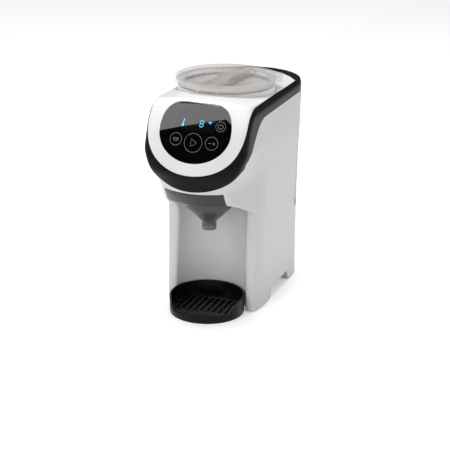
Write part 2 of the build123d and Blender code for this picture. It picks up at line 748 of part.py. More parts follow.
SEAL_BOTTOM = POT_RIM
with BuildPart() as lid_seal:
    with BuildSketch(Plane.XY.offset(SEAL_BOTTOM + FIT)):
        with Locations((0, POT_Y)):
            Circle(RIM_R - 0.6)
            Circle(POT_R - THIN, mode=Mode.SUBTRACT)
    extrude(amount=1.0)
lid_seal.part.label = "lid_seal"

FLANGE_BOTTOM = SEAL_BOTTOM + 1.6
SKIRT_BOTTOM = POT_RIM - 1.6
LUG_BOTTOM = POT_RIM - 4.2
PLUG_R = POT_R - THIN - RUN
with BuildPart() as container_lid:
    with BuildSketch(Plane.XY.offset(SKIRT_BOTTOM)):
        with Locations((0, POT_Y)):
            Circle(LID_R)
    extrude(amount=LID_TOP - SKIRT_BOTTOM)
    # pairs of bayonet lugs inside the skirt's line, below it
    with BuildSketch(Plane.XY.offset(LUG_BOTTOM)):
        with Locations((0, POT_Y)):
            with PolarLocations(LID_R - 0.85, 4, start_angle=-13.4):
                Rectangle(1.7, 3)
            with PolarLocations(LID_R - 0.85, 4, start_angle=10.8):
                Rectangle(1.7, 3)
    extrude(amount=SKIRT_BOTTOM + 1 - LUG_BOTTOM)
    # turning tab that stands down beside the rim
    with BuildSketch(Plane.XY.offset(LID_TOP - 10)):
        with Locations(Location((0, POT_Y, 0), (0, 0, TAB_ANGLE))):
            with Locations((LID_R - 6, 0)):
                RectangleRounded(2 * (TAB_REACH - LID_R + 6), 15, 3)
    extrude(amount=10)
    with BuildSketch(Plane.XY.offset(PLUG_FLOOR)):
        with Locations((0, POT_Y)):
            Circle(RIM_R + FIT)
    extrude(amount=FLANGE_BOTTOM - PLUG_FLOOR, mode=Mode.SUBTRACT)
    with BuildSketch(Plane.XY.offset(PLUG_FLOOR)):
        with Locations((0, POT_Y)):
            Circle(PLUG_R)
    extrude(amount=FLANGE_BOTTOM - PLUG_FLOOR)
    with BuildSketch(Plane.XY.offset(PLUG_FLOOR + THIN)):
        with Locations((0, POT_Y)):
            Circle(PLUG_R - THIN)
    extrude(amount=60, mode=Mode.SUBTRACT)
    # grip with hollow sides between the two finger recesses, open from below
    for inset, low, high, mode in (
        (0, PLUG_FLOOR, LID_TOP, Mode.ADD),
        (THIN, PLUG_FLOOR, LID_TOP - THIN, Mode.SUBTRACT),
    ):
        with BuildSketch(Plane.XY.offset(low)):
            with Locations((0, POT_Y)):
                Circle(PLUG_R - THIN / 2 - 1.5 * inset)
            for side in (1, -1):
                with BuildLine():
                    flank = ThreePointArc(
                        (side * (GRIP_END_HALF - inset), POT_Y - PLUG_R),
                        (side * (GRIP_HALF - inset), POT_Y),
                        (side * (GRIP_END_HALF - inset), POT_Y + PLUG_R),
                    )
                    Polyline(
                        flank @ 1, (side * LID_R, POT_Y + PLUG_R), (side * LID_R, POT_Y - PLUG_R), flank @ 0
                    )
                make_face(mode=Mode.SUBTRACT)
        extrude(amount=high - low, mode=mode)
container_lid.part.label = "container_lid"

# ---------------------------------------------------------------- powder and water to the funnel
CHUTE_FOOT = DRAWER_TOP + 3.0
with BuildPart() as powder_chute:
    with BuildSketch(Plane.XY.offset(WELL_FLOOR)) as mouth:
        with Locations((0, POT_Y - OUTLET_REACH)):
            Circle(OUTLET_R + 1.6)
    with BuildSketch(Plane.XY.offset(CHUTE_FOOT)) as foot:
        with Locations((0, FUNNEL_Y + 3)):
            Circle(OUTLET_R + 1.6)
    loft([foot.sketch, mouth.sketch], ruled=True)
    with BuildSketch(Plane.XY.offset(WELL_FLOOR)) as mouth_bore:
        with Locations((0, POT_Y - OUTLET_REACH)):
            Circle(OUTLET_R)
    with BuildSketch(Plane.XY.offset(CHUTE_FOOT)) as foot_bore:
        with Locations((0, FUNNEL_Y + 3)):
            Circle(OUTLET_R)
    loft([foot_bore.sketch, mouth_bore.sketch], ruled=True, mode=Mode.SUBTRACT)
powder_chute.part.label = "powder_chute"

RAIL_IN = DRAWER_HALF + RUN
RAIL_OUT = RAIL_IN + 2.6
RAIL_BOTTOM = BAY_TOP + WALL
BRIDGE_Z = DRAWER_TOP + 1.2
NOZZLE_X = 6.6 - FUNNEL_R
NOZZLE_Y = FUNNEL_Y + 3
with BuildPart() as drawer_frame:
    with BuildSketch(Plane.XY.offset(RAIL_BOTTOM)):
        with Locations((0, DRAWER_BACK_Y + 3)):
            Rectangle(2 * RAIL_OUT, 70, align=(Align.CENTER, Align.MAX))
    extrude(amount=CHUTE_FOOT - RAIL_BOTTOM)
    with BuildSketch(Plane.XY.offset(RAIL_BOTTOM)):
        with Locations((0, DRAWER_BACK_Y + RUN)):
            Rectangle(2 * RAIL_IN, 90, align=(Align.CENTER, Align.MAX))
    extrude(amount=BRIDGE_Z - RAIL_BOTTOM, mode=Mode.SUBTRACT)
    with BuildSketch(Plane.XY.offset(BRIDGE_Z)):
        with Locations((0, FUNNEL_Y + 3)):
            Circle(OUTLET_R + 0.2)
        with Locations((NOZZLE_X, NOZZLE_Y)):
            Circle(3.0)
    extrude(amount=10, mode=Mode.SUBTRACT)
drawer_frame.part.label = "drawer_frame"

with BuildPart() as water_nozzle:
    with BuildSketch(Plane.XY.offset(DRAWER_TOP + 0.6)):
        with Locations((NOZZLE_X, NOZZLE_Y)):
            Circle(3.0)
    extrude(amount=CHUTE_FOOT + 6 - DRAWER_TOP - 0.6)
    with BuildSketch(Plane.XY.offset(CHUTE_FOOT)):
        with Locations((NOZZLE_X, NOZZLE_Y)):
            Circle(5.0)
    extrude(amount=2)
    with BuildSketch(Plane.XY.offset(DRAWER_TOP)):
        with Locations((NOZZLE_X, NOZZLE_Y)):
            Circle(1.4)
    extrude(amount=20, mode=Mode.SUBTRACT)
water_nozzle.part.label = "water_nozzle"

DRAWER_BOTTOM = EAVE_Z + FIT
with BuildPart() as funnel_drawer:
    # front, flush with the housing
    add(OUTER)
    add(casing(3.2), mode=Mode.SUBTRACT)
    with BuildSketch(Plane.XY.offset(DRAWER_BOTTOM)):
        with Locations((0, NOSE_Y + 47)):
            Rectangle(2 * (DRAWER_HALF - FIT), 100, align=(Align.CENTER, Align.MAX))
    extrude(amount=DRAWER_TOP - DRAWER_BOTTOM, mode=Mode.INTERSECT)
    # frame that holds the funnel
    with BuildPart(mode=Mode.PRIVATE) as holder:
        with BuildSketch(Plane.XY.offset(RAIL_BOTTOM + FIT)):
            with Locations((0, DRAWER_BACK_Y - RUN)):
                Rectangle(2 * (DRAWER_HALF - FIT), 100, align=(Align.CENTER, Align.MAX))
        extrude(amount=11)
        with BuildSketch(Plane.XY.offset(EAVE_Z - 5)):
            with Locations((0, FUNNEL_Y)):
                Circle(FUNNEL_R + RUN)
        extrude(amount=30, mode=Mode.SUBTRACT)
        with BuildSketch(Plane.XY.offset(RAIL_BOTTOM + FIT + 3)):
            with Locations((0, DRAWER_BACK_Y - RUN - THIN)):
                Rectangle(2 * (DRAWER_HALF - FIT - THIN), 140, align=(Align.CENTER, Align.MAX))
        extrude(amount=30, mode=Mode.SUBTRACT)
        add(casing(3.0), mode=Mode.INTERSECT)
    add(holder.part)
funnel_drawer.part.label = "funnel_drawer"

FUNNEL_TOP = DRAWER_TOP - 4.0
FUNNEL_SEAT = RAIL_BOTTOM + FIT + 3
with BuildPart() as mixing_funnel:
    with BuildSketch(Plane.XZ.offset(-FUNNEL_Y)):
        with BuildLine():
            Polyline(
                (SPOUT_R, SPOUT_BOTTOM),
                (SPOUT_R, SPOUT_TOP),
                (FUNNEL_R - 0.6, CONE_TOP),
                (FUNNEL_R, CONE_TOP + 3),
                (FUNNEL_R, FUNNEL_SEAT),
                (FUNNEL_R + 2.2, FUNNEL_SEAT),
                (FUNNEL_R + 2.2, FUNNEL_SEAT + 2),
                (FUNNEL_R, FUNNEL_SEAT + 2),
                (FUNNEL_R, FUNNEL_TOP),
                (FUNNEL_R - THIN, FUNNEL_TOP),
                (FUNNEL_R - THIN, CONE_TOP + 3.4),
                (FUNNEL_R - THIN - 0.8, CONE_TOP + 0.6),
                (SPOUT_R - THIN + 0.4, SPOUT_TOP + 1.2),
                (SPOUT_R - THIN + 0.4, SPOUT_BOTTOM),
                close=True,
            )
        make_face()
    revolve(axis=Axis((0, FUNNEL_Y, 0), (0, 0, 1)))
mixing_funnel.part.label = "mixing_funnel"

with BuildPart() as funnel_cover:
    with BuildSketch(Plane.XY.offset(FUNNEL_TOP)):
        with Locations((0, FUNNEL_Y)):
            Circle(FUNNEL_R + 1.5)
    extrude(amount=1.8)
    with BuildSketch(Plane.XY.offset(FUNNEL_TOP)):
        with Locations((0, FUNNEL_Y + 3)):
            Circle(OUTLET_R + 2)
        with Locations((NOZZLE_X, NOZZLE_Y)):
            Circle(3.4)
    extrude(amount=3, mode=Mode.SUBTRACT)
funnel_cover.part.label = "funnel_cover"

# ---------------------------------------------------------------- tray
with BuildPart() as drip_tray:
    with BuildSketch(Plane.XY):
        with Locations((0, TRAY_Y)):
            Circle(TRAY_R)
    extrude(amount=TRAY_WALL)
    with BuildSketch(Plane.YZ):
        with BuildLine():
            lip = Line((TRAY_NOSE - 10.5, TRAY_LIP), (TRAY_NOSE + 11.5, TRAY_LIP))
            swell = Bezier(
                lip @ 1, (TRAY_NOSE + 27.5, TRAY_LIP), (TRAY_NOSE + 25.5, TRAY_WALL - 2),
                (TRAY_NOSE + 39.5, TRAY_WALL - 1)
            )
            Polyline(
                swell @ 1, (TRAY_Y + TRAY_R + 9.5, TRAY_WALL + 1), (TRAY_Y + TRAY_R + 9.5, TRAY_WALL + 36),
                (TRAY_NOSE - 10.5, TRAY_WALL + 36), lip @ 0
            )
        make_face()
    extrude(amount=100, both=True, mode=Mode.SUBTRACT)
    with BuildSketch(Plane.XY.offset(TRAY_FLOOR)):
        with Locations((0, TRAY_Y)):
            Circle(TRAY_R - TRAY_SKIN)
    extrude(amount=60, mode=Mode.SUBTRACT)
    # ledge under the grate
    with BuildSketch(Plane.XY.offset(TRAY_FLOOR)):
        with Locations((0, TRAY_Y)):
            Circle(TRAY_R - TRAY_SKIN)
            Circle(TRAY_R - TRAY_SKIN - 2, mode=Mode.SUBTRACT)
    extrude(amount=GRATE_Z - TRAY_FLOOR - FIT)
    # tongue that enters the back of the bay
    with BuildSketch(Plane.XY.offset(TONGUE_Z)):
        with Locations((0, TRAY_Y + TRAY_R - 1.2)):
            Rectangle(TONGUE_W, 9.5, align=(Align.CENTER, Align.MIN))
    extrude(amount=TONGUE_T)
drip_tray.part.label = "drip_tray"

with BuildPart() as drip_grate:
    with BuildSketch(Plane.XY.offset(GRATE_Z)):
        with Locations((0, TRAY_Y)):
            Circle(TRAY_R - TRAY_SKIN - RUN)
        with Locations((0, TRAY_Y)):
            with GridLocations(8.6, 0, 9, 1):
                SlotOverall(46, 3.6, rotation=90, mode=Mode.SUBTRACT)
    extrude(amount=1.8)
drip_grate.part.label = "drip_grate"

# ---------------------------------------------------------------- water tank
with BuildPart() as water_tank:
    add(OUTER)
    add(seat_arc(RUN, TANK_TOP + 30), mode=Mode.INTERSECT)
    with BuildSketch(Plane.XY.offset(TANK_BOTTOM + RUN)):
        Rectangle(300, 400)
    extrude(amount=TANK_TOP - TANK_BOTTOM - RUN, mode=Mode.INTERSECT)
    with BuildPart(mode=Mode.PRIVATE) as water_room:
        add(casing(THIN))
        add(seat_arc(RUN + THIN, TANK_TOP + 30), mode=Mode.INTERSECT)
        with BuildSketch(Plane.XY.offset(TANK_BOTTOM + RUN + THIN)):
            Rectangle(300, 400)
        extrude(amount=200, mode=Mode.INTERSECT)
    add(water_room.part, mode=Mode.SUBTRACT)
    with Locations((0, SPIGOT_Y, TANK_BOTTOM)):
        Cylinder(SPIGOT_R - 1.6, 20, mode=Mode.SUBTRACT)
water_tank.part.label = "water_tank"

LID_BOTTOM = TANK_TOP + FIT
with BuildPart() as tank_lid:
    add(OUTER)
    add(seat_arc(RUN, STEP_Z + 30), mode=Mode.INTERSECT)
    with BuildSketch(Plane.XY.offset(LID_BOTTOM)):
        Rectangle(300, 400)
    extrude(amount=STEP_Z - LID_BOTTOM, mode=Mode.INTERSECT)
    with BuildPart(mode=Mode.PRIVATE) as lid_room:
        add(casing(WALL))
        add(seat_arc(RUN + WALL, STEP_Z + 30), mode=Mode.INTERSECT)
        with BuildSketch(Plane.XY.offset(LID_BOTTOM - 5)):
            Rectangle(300, 400)
        extrude(amount=STEP_Z - WALL - LID_BOTTOM + 5, mode=Mode.INTERSECT)
    add(lid_room.part, mode=Mode.SUBTRACT)
tank_lid.part.label = "tank_lid"

SPIGOT_BOTTOM = TANK_BOTTOM - 5
with BuildPart() as tank_spigot:
    with BuildSketch(Plane.XY.offset(SPIGOT_BOTTOM)):
        with Locations((0, SPIGOT_Y)):
            Circle(SPIGOT_R)
            Circle(SPIGOT_R - 1.6, mode=Mode.SUBTRACT)
    extrude(amount=TANK_BOTTOM + RUN - SPIGOT_BOTTOM)
    with BuildSketch(Plane.XY.offset(TANK_BOTTOM + RUN - 2)):
        with Locations((0, SPIGOT_Y)):
            Circle(SPIGOT_R - 1.6)
            Circle(SPIGOT_R - 3.0, mode=Mode.SUBTRACT)
    extrude(amount=THIN + 2)
    with BuildSketch(Plane.XY.offset(SPIGOT_BOTTOM)):
        with Locations((0, SPIGOT_Y)):
            Circle(SPIGOT_R - 1.6)
            Circle(2.0, mode=Mode.SUBTRACT)
    extrude(amount=1.2)
tank_spigot.part.label = "tank_spigot"

with BuildPart() as valve_plunger:
    with BuildSketch(Plane.XY.offset(SPIGOT_BOTTOM - 1)):
        with Locations((0, SPIGOT_Y)):
            Circle(1.4)
    extrude(amount=8)
    with BuildSketch(Plane.XY.offset(SPIGOT_BOTTOM + 1.6)):
        with Locations((0, SPIGOT_Y)):
            Circle(2.7)
    extrude(amount=1.2)
valve_plunger.part.label = "valve_plunger"

with BuildPart() as valve_spring:
    with BuildSketch(Plane.XY.offset(SPIGOT_BOTTOM + 8)):
        with Locations((0, SPIGOT_Y)):
            Circle(SPIGOT_R - 3.1)
            Circle(2.2, mode=Mode.SUBTRACT)
    extrude(amount=4)
valve_spring.part.label = "valve_spring"

SOCKET_R = SPIGOT_R + 0.8
with BuildPart() as tank_socket:
    with BuildSketch(Plane.XY.offset(SPIGOT_BOTTOM - 4)):
        with Locations((0, SPIGOT_Y)):
            Circle(SPIGOT_R + 2.6)
    extrude(amount=TANK_BOTTOM - SPIGOT_BOTTOM + 4)
    with BuildSketch(Plane.XY.offset(SPIGOT_BOTTOM - 1.6)):
        with Locations((0, SPIGOT_Y)):
            Circle(SOCKET_R)
    extrude(amount=20, mode=Mode.SUBTRACT)
    with BuildSketch(Plane.XY.offset(SPIGOT_BOTTOM - 12)):
        with Locations((0, SPIGOT_Y)):
            Circle(HOSE_R - 0.4)
    extrude(amount=8)
    with BuildSketch(Plane.XY.offset(SPIGOT_BOTTOM - 12)):
        with Locations((0, SPIGOT_Y)):
            Circle(1.4)
    extrude(amount=12, mode=Mode.SUBTRACT)
    with BuildSketch(Plane.XY.offset(TANK_BOTTOM - WALL - 1.5)):
        with Locations((0, SPIGOT_Y)):
            Circle(SPIGOT_R + 5)
            Circle(SPIGOT_R + 2.6, mode=Mode.SUBTRACT)
    extrude(amount=1.5)
tank_socket.part.label = "tank_socket"

with BuildPart() as socket_seal:
    with BuildSketch(Plane.XY.offset(SPIGOT_BOTTOM - 1.6)):
        with Locations((0, SPIGOT_Y)):
            Circle(SOCKET_R)
            Circle(4.0, mode=Mode.SUBTRACT)
    extrude(amount=1.1)
socket_seal.part.label = "socket_seal"

# ---------------------------------------------------------------- water works and electrics
HEATER_FOOT = 40.0
HEATER_H = 86.0
HEATER_TOP = HEATER_FOOT + HEATER_H
with BuildPart() as chassis_plate:
    with BuildSketch(Plane.XZ.offset(-PLATE_Y)):
        with Locations((0, CHANNEL_Z + WALL)):
            Rectangle(2 * FOOT_HALF - 29, HEATER_TOP + 25 - CHANNEL_Z - WALL, align=(Align.CENTER, Align.MIN))
            Rectangle(2 * MOTOR_R - 2, CASE_FLOOR - CHANNEL_Z - WALL, align=(Align.CENTER, Align.MIN))
    extrude(amount=-PLATE_T)
    fillet(chassis_plate.edges().filter_by(Axis.Y).group_by(Axis.X)[0].sort_by(Axis.Z)[-1], 8)
    fillet(chassis_plate.edges().filter_by(Axis.Y).group_by(Axis.X)[-1].sort_by(Axis.Z)[-1], 8)
chassis_plate.part.label = "chassis_plate"

PLATE_BACK = PLATE_Y + PLATE_T
PUMP_Y = PLATE_BACK + PUMP_R + 4
PUMP_FOOT = 44.0
PUMP_H = 50.0
with BuildPart() as water_pump:
    with BuildSketch(Plane.XY.offset(PUMP_FOOT)):
        with Locations((PUMP_X, PUMP_Y)):
            Circle(PUMP_R)
    extrude(amount=PUMP_H)
    with BuildSketch(Plane.XY.offset(PUMP_FOOT + PUMP_H)):
        with Locations((PUMP_X, PUMP_Y)):
            Rectangle(22, 22)
    extrude(amount=8)
    with BuildSketch(Plane.XY.offset(PUMP_FOOT + PUMP_H + 8)):
        with Locations((PUMP_X, PUMP_Y)):
            Circle(HOSE_R)
    extrude(amount=5)
    with BuildSketch(Plane.XZ.offset(-PUMP_Y)):
        with Locations((PUMP_X, PUMP_FOOT + 12)):
            Circle(HOSE_R)
    extrude(amount=-PUMP_R - 4)
water_pump.part.label = "water_pump"

with BuildPart() as pump_bracket:
    with BuildSketch(Plane.XY.offset(PUMP_FOOT + 20)):
        with Locations((PUMP_X, PUMP_Y)):
            Circle(PUMP_R + 2.2)
            Circle(PUMP_R, mode=Mode.SUBTRACT)
        with Locations((PUMP_X, PLATE_BACK)):
            Rectangle(16, 5, align=(Align.CENTER, Align.MIN))
        with Locations((PUMP_X, PUMP_Y)):
            Circle(PUMP_R, mode=Mode.SUBTRACT)
    extrude(amount=12)
pump_bracket.part.label = "pump_bracket"

HEATER_X = -PUMP_X
HEATER_D = 26.0
HEATER_Y = PLATE_BACK + 2 + HEATER_D / 2
with BuildPart() as flow_heater:
    with BuildSketch(Plane.XY.offset(HEATER_FOOT)):
        with Locations((HEATER_X, HEATER_Y)):
            RectangleRounded(34, HEATER_D, 5)
    extrude(amount=HEATER_H)
    for rib in range(6):
        with BuildSketch(Plane.XY.offset(HEATER_FOOT + 10 + 12 * rib)):
            with Locations((HEATER_X, HEATER_Y + 2)):
                RectangleRounded(38, HEATER_D, 6)
        extrude(amount=3)
    with BuildSketch(Plane.XY.offset(HEATER_TOP)):
        with Locations((HEATER_X, HEATER_Y)):
            Circle(HOSE_R)
    extrude(amount=5)
    with BuildSketch(Plane.XZ.offset(-HEATER_Y)):
        with Locations((HEATER_X, PUMP_FOOT + 12)):
            Circle(HOSE_R)
    extrude(amount=-HEATER_D / 2 - 6)
flow_heater.part.label = "flow_heater"

with BuildPart() as heater_bracket:
    with BuildSketch(Plane.XZ.offset(-PLATE_BACK)):
        with Locations((HEATER_X, HEATER_FOOT + HEATER_H / 2)):
            Rectangle(30, 60)
    extrude(amount=-2)
heater_bracket.part.label = "heater_bracket"


def hose(points, radii):
    """A round hose along straight runs joined by tangent arcs."""
    with BuildPart() as tube:
        with BuildLine() as route:
            FilletPolyline(*points, radius=radii)
        start = Plane(origin=route.line @ 0, z_dir=route.line % 0)
        with BuildSketch(start):
            Circle(HOSE_R)
            Circle(HOSE_BORE, mode=Mode.SUBTRACT)
        sweep(path=route.line)
    return tube.part


HOSE_PORT_Z = PUMP_FOOT + 12
PUMP_PORT_Y = PUMP_Y + PUMP_R + 4
HEATER_PORT_Y = HEATER_Y + HEATER_D / 2 + 6
PUMP_HEAD = PUMP_FOOT + PUMP_H + 13
HEATER_HEAD = HEATER_TOP + 5
BEND_Y = HEATER_PORT_Y + 29.5
with BuildPart() as suction_hose:
    add(hose(
        [
            (0, SPIGOT_Y, SPIGOT_BOTTOM - 12),
            (0, SPIGOT_Y, HOSE_PORT_Z + 10),
            (PUMP_X, SPIGOT_Y - 35, HOSE_PORT_Z),
            (PUMP_X, PUMP_PORT_Y, HOSE_PORT_Z),
        ],
        14,
    ))
suction_hose.part.label = "suction_hose"

with BuildPart() as transfer_hose:
    add(hose(
        [
            (PUMP_X, PUMP_Y, PUMP_HEAD),
            (PUMP_X, PUMP_Y, PUMP_HEAD + 24),
            (PUMP_X - 10, BEND_Y, PUMP_HEAD + 24),
            (HEATER_X, BEND_Y, PUMP_HEAD - 8),
            (HEATER_X, BEND_Y, HOSE_PORT_Z),
            (HEATER_X, HEATER_PORT_Y, HOSE_PORT_Z),
        ],
        10,
    ))
transfer_hose.part.label = "transfer_hose"

NOZZLE_TOP = CHUTE_FOOT + 6
with BuildPart() as delivery_hose:
    add(hose(
        [
            (HEATER_X, HEATER_Y, HEATER_HEAD),
            (HEATER_X, HEATER_Y, NOZZLE_TOP + 12),
            (NOZZLE_X, NOZZLE_Y, NOZZLE_TOP + 12),
            (NOZZLE_X, NOZZLE_Y, NOZZLE_TOP),
        ],
        [14, 10],
    ))
delivery_hose.part.label = "delivery_hose"

with BuildPart() as power_board:
    with BuildSketch(Plane.XY.offset(BOARD_SHELF)):
        with Locations((0, POWER_Y)):
            Rectangle(78, 40)
    extrude(amount=BOARD_T)
    with BuildSketch(Plane.XY.offset(BOARD_SHELF + BOARD_T)):
        with Locations((8, POWER_Y + 2)):
            Rectangle(24, 26)
        with Locations((-14, POWER_Y + 8)):
            Circle(6)
        with Locations((-30, POWER_Y + 10)):
            Rectangle(10, 12)
    extrude(amount=15)
power_board.part.label = "power_board"

with BuildPart() as cord_gland:
    with BuildSketch(Plane.XZ.offset(-REAR_Y - 1.5)):
        with Locations((0, GLAND_Z)):
            Circle(7.5)
    extrude(amount=1.5)
    with BuildSketch(Plane.XZ.offset(-REAR_Y - 1.5)):
        with Locations((0, GLAND_Z)):
            Circle(6.0)
    extrude(amount=12)
    with BuildSketch(Plane.XZ.offset(-REAR_Y - 1.5)):
        with Locations((0, GLAND_Z)):
            Circle(3.4)
    extrude(amount=12, mode=Mode.SUBTRACT)
cord_gland.part.label = "cord_gland"

PIECES = [
    body_shell, front_mask, trim_band, control_lens, base_plate, case_screws, rubber_feet,
    display_module, control_board, touch_springs, container_well, shaft_bush, gearbox_case,
    drive_gear, drive_shaft, motor_pinion, gear_motor, powder_container, dispensing_wheel,
    stirrer, lid_seal, container_lid, powder_chute, drawer_frame, water_nozzle, funnel_drawer,
    mixing_funnel, funnel_cover, drip_tray, drip_grate, water_tank, tank_lid, tank_spigot,
    valve_plunger, valve_spring, tank_socket, socket_seal, chassis_plate, water_pump,
    pump_bracket, flow_heater, heater_bracket, suction_hose, transfer_hose, delivery_hose,
    power_board, cord_gland,
]
for piece in PIECES:
    placed = piece.part.moved(Location((0, -MIDDLE_Y, 0)))
    placed.label = piece.part.label
    export_step(placed, f"parts/{placed.label}.step")
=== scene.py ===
"""Countertop baby formula maker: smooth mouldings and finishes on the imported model's frame.

Lengths are written in millimetres and scaled by MM; every object lies in the model's own frame.
"""
import logging
import math
from dataclasses import dataclass, field
from enum import Enum

import bpy
import numpy as np
from mathutils import Matrix, Vector


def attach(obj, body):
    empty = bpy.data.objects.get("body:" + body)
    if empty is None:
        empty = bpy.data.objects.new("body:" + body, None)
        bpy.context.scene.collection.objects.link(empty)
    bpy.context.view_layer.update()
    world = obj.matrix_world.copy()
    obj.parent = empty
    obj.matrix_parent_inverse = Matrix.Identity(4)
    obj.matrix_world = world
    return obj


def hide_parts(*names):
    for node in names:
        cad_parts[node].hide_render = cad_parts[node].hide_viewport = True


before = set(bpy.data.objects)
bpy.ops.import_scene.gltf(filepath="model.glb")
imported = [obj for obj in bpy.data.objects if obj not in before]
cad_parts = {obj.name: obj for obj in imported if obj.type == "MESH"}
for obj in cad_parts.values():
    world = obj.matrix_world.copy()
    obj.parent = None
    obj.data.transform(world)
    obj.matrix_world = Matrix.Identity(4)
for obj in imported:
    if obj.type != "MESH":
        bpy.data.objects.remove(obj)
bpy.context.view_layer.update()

MM = 0.001
MIDDLE_Y = 2.0  # the pieces are drawn from a zero that lies this far in front of the model's origin
Point = tuple[float, float]
Join = tuple[bpy.types.Node, str | int, bpy.types.Node, str | int]
logging.basicConfig(level=logging.INFO, format="%(message)s")
log = logging.getLogger("formula_maker")


# ------------------------------------------------------------------ tools of the bench
class Cut(Enum):
    """What is left of a piece when a tool solid meets it."""

    AWAY = "DIFFERENCE"
    KEEP = "INTERSECT"
    JOIN = "UNION"


class Along(Enum):
    """The axis that a drawn outline is pulled along."""

    X = 0
    Y = 1
    Z = 2

    def turned(self, a: float, b: float, level: float) -> tuple[float, float, float]:
        """A point of the outline at a level, as x, y and z."""
        return {Along.X: (level, a, b), Along.Y: (a, level, b), Along.Z: (a, b, level)}[self]


def spot(x: float, y: float, z: float) -> Vector:
    """A drawn point in the model's frame, in metres."""
    return Vector((x, y - MIDDLE_Y, z)) * MM


def put_down() -> None:
    """Leaves edit mode and drops the selection."""
    if bpy.context.mode != "OBJECT":
        bpy.ops.object.mode_set(mode="OBJECT")
    bpy.ops.object.select_all(action="DESELECT")


def pick_up(piece: bpy.types.Object) -> None:
    """Makes one piece the only one selected, and active.

    Args:
        piece: the piece.
    """
    put_down()
    piece.select_set(True)
    bpy.context.view_layer.objects.active = piece


def finish_with(piece: bpy.types.Object, kind: str, **settings: object) -> None:
    """Adds one modifier to a piece and applies it.

    Args:
        piece: the piece that is shaped.
        kind: the modifier's type.
        **settings: the modifier's own values.
    """
    pick_up(piece)
    modifier = piece.modifiers.new(kind.lower(), kind)
    for key, value in settings.items():
        setattr(modifier, key, value)
    bpy.ops.object.modifier_apply(modifier=modifier.name)


def carve(piece: bpy.types.Object, tool: bpy.types.Object, cut: Cut, keep_tool: bool = False) -> None:
    """Cuts, keeps or joins a piece with a closed tool solid.

    Args:
        piece: the piece that is worked on.
        tool: the closed solid that it meets.
        cut: what is left of the piece.
        keep_tool: True where the tool is used again.
    """
    finish_with(piece, "BOOLEAN", object=tool, operation=cut.value, solver="MANIFOLD")
    if not keep_tool:
        bpy.data.objects.remove(tool)


def duplicate(piece: bpy.types.Object, name: str) -> bpy.types.Object:
    """A second piece with its own mesh.

    Args:
        piece: the piece that is copied.
        name: the new piece's name.

    Returns:
        The new piece.
    """
    twin = bpy.data.objects.new(name, piece.data.copy())
    bpy.context.scene.collection.objects.link(twin)
    return twin


def face_outwards(piece: bpy.types.Object) -> None:
    """Turns the faces of a closed piece outwards.

    Args:
        piece: the piece.
    """
    pick_up(piece)
    bpy.ops.object.mode_set(mode="EDIT")
    bpy.ops.mesh.select_all(action="SELECT")
    bpy.ops.mesh.normals_make_consistent(inside=False)
    put_down()


def smooth(piece: bpy.types.Object, degrees: float = 32.0) -> None:
    """Shades a piece smooth up to an angle between faces.

    Args:
        piece: the piece.
        degrees: edges sharper than this stay crisp.
    """
    pick_up(piece)
    bpy.ops.object.shade_smooth_by_angle(angle=math.radians(degrees))
    put_down()


def block(name: str, outline: list[Point], along: Along, low: float, high: float,
          lean: tuple[float, float, float] = (0.0, 0.0, 0.0)) -> bpy.types.Object:
    """A closed block with a drawn outline.

    Args:
        name: the block's name.
        outline: the corners, in order, on the plane across the axis.
        along: the axis that the outline is pulled along.
        low: where the block starts on that axis.
        high: where it ends.
        lean: how far the end is moved sideways.

    Returns:
        The block.
    """
    put_down()
    bpy.ops.mesh.primitive_circle_add(vertices=len(outline), radius=0.01, fill_type="NGON")
    made = bpy.context.object
    made.name = name
    for vertex, (a, b) in zip(made.data.vertices, outline):
        vertex.co = spot(*along.turned(a, b, low))
    pull = (Vector(along.turned(0, 0, high - low)) + Vector(lean)) * MM
    bpy.ops.object.mode_set(mode="EDIT")
    bpy.ops.mesh.select_all(action="SELECT")
    bpy.ops.mesh.extrude_region_move(TRANSFORM_OT_translate={"value": pull})
    put_down()
    face_outwards(made)
    return made


def drum(name: str, centre: Point, radius: float, low: float, high: float,
         sides: int = 128) -> bpy.types.Object:
    """An upright closed cylinder.

    Args:
        name: the cylinder's name.
        centre: where its axis stands.
        radius: its radius.
        low: the level of its foot.
        high: the level of its top.
        sides: how many flat sides it has.

    Returns:
        The cylinder.
    """
    put_down()
    bpy.ops.mesh.primitive_cylinder_add(
        vertices=sides, radius=radius * MM, depth=(high - low) * MM,
        location=spot(centre[0], centre[1], (low + high) / 2),
    )
    made = bpy.context.object
    made.name = name
    settle(made)
    return made


def settle(piece: bpy.types.Object) -> None:
    """Moves a piece's place into its mesh, so that the object sits at the origin.

    Args:
        piece: the piece.
    """
    pick_up(piece)
    bpy.ops.object.transform_apply(location=True, rotation=True, scale=True)
    put_down()


def bezier(a: Point, b: Point, c: Point, d: Point, steps: int = 24) -> list[Point]:
    """Points along one cubic arc, both ends included.

    Args:
        a: the start.
        b: the point that the start heads for.
        c: the point that the end comes from.
        d: the end.
        steps: how many stretches the arc has.

    Returns:
        The points.
    """
    path = []
    for k in range(steps + 1):
        t = k / steps
        weights = ((1 - t) ** 3, 3 * t * (1 - t) ** 2, 3 * t * t * (1 - t), t ** 3)
        path.append((
            sum(w * p[0] for w, p in zip(weights, (a, b, c, d))),
            sum(w * p[1] for w, p in zip(weights, (a, b, c, d))),
        ))
    return path


def mirrored(path: list[Point]) -> list[Point]:
    """The same path on the other side of the middle, walked backwards."""
    return [(-a, b) for a, b in reversed(path)]


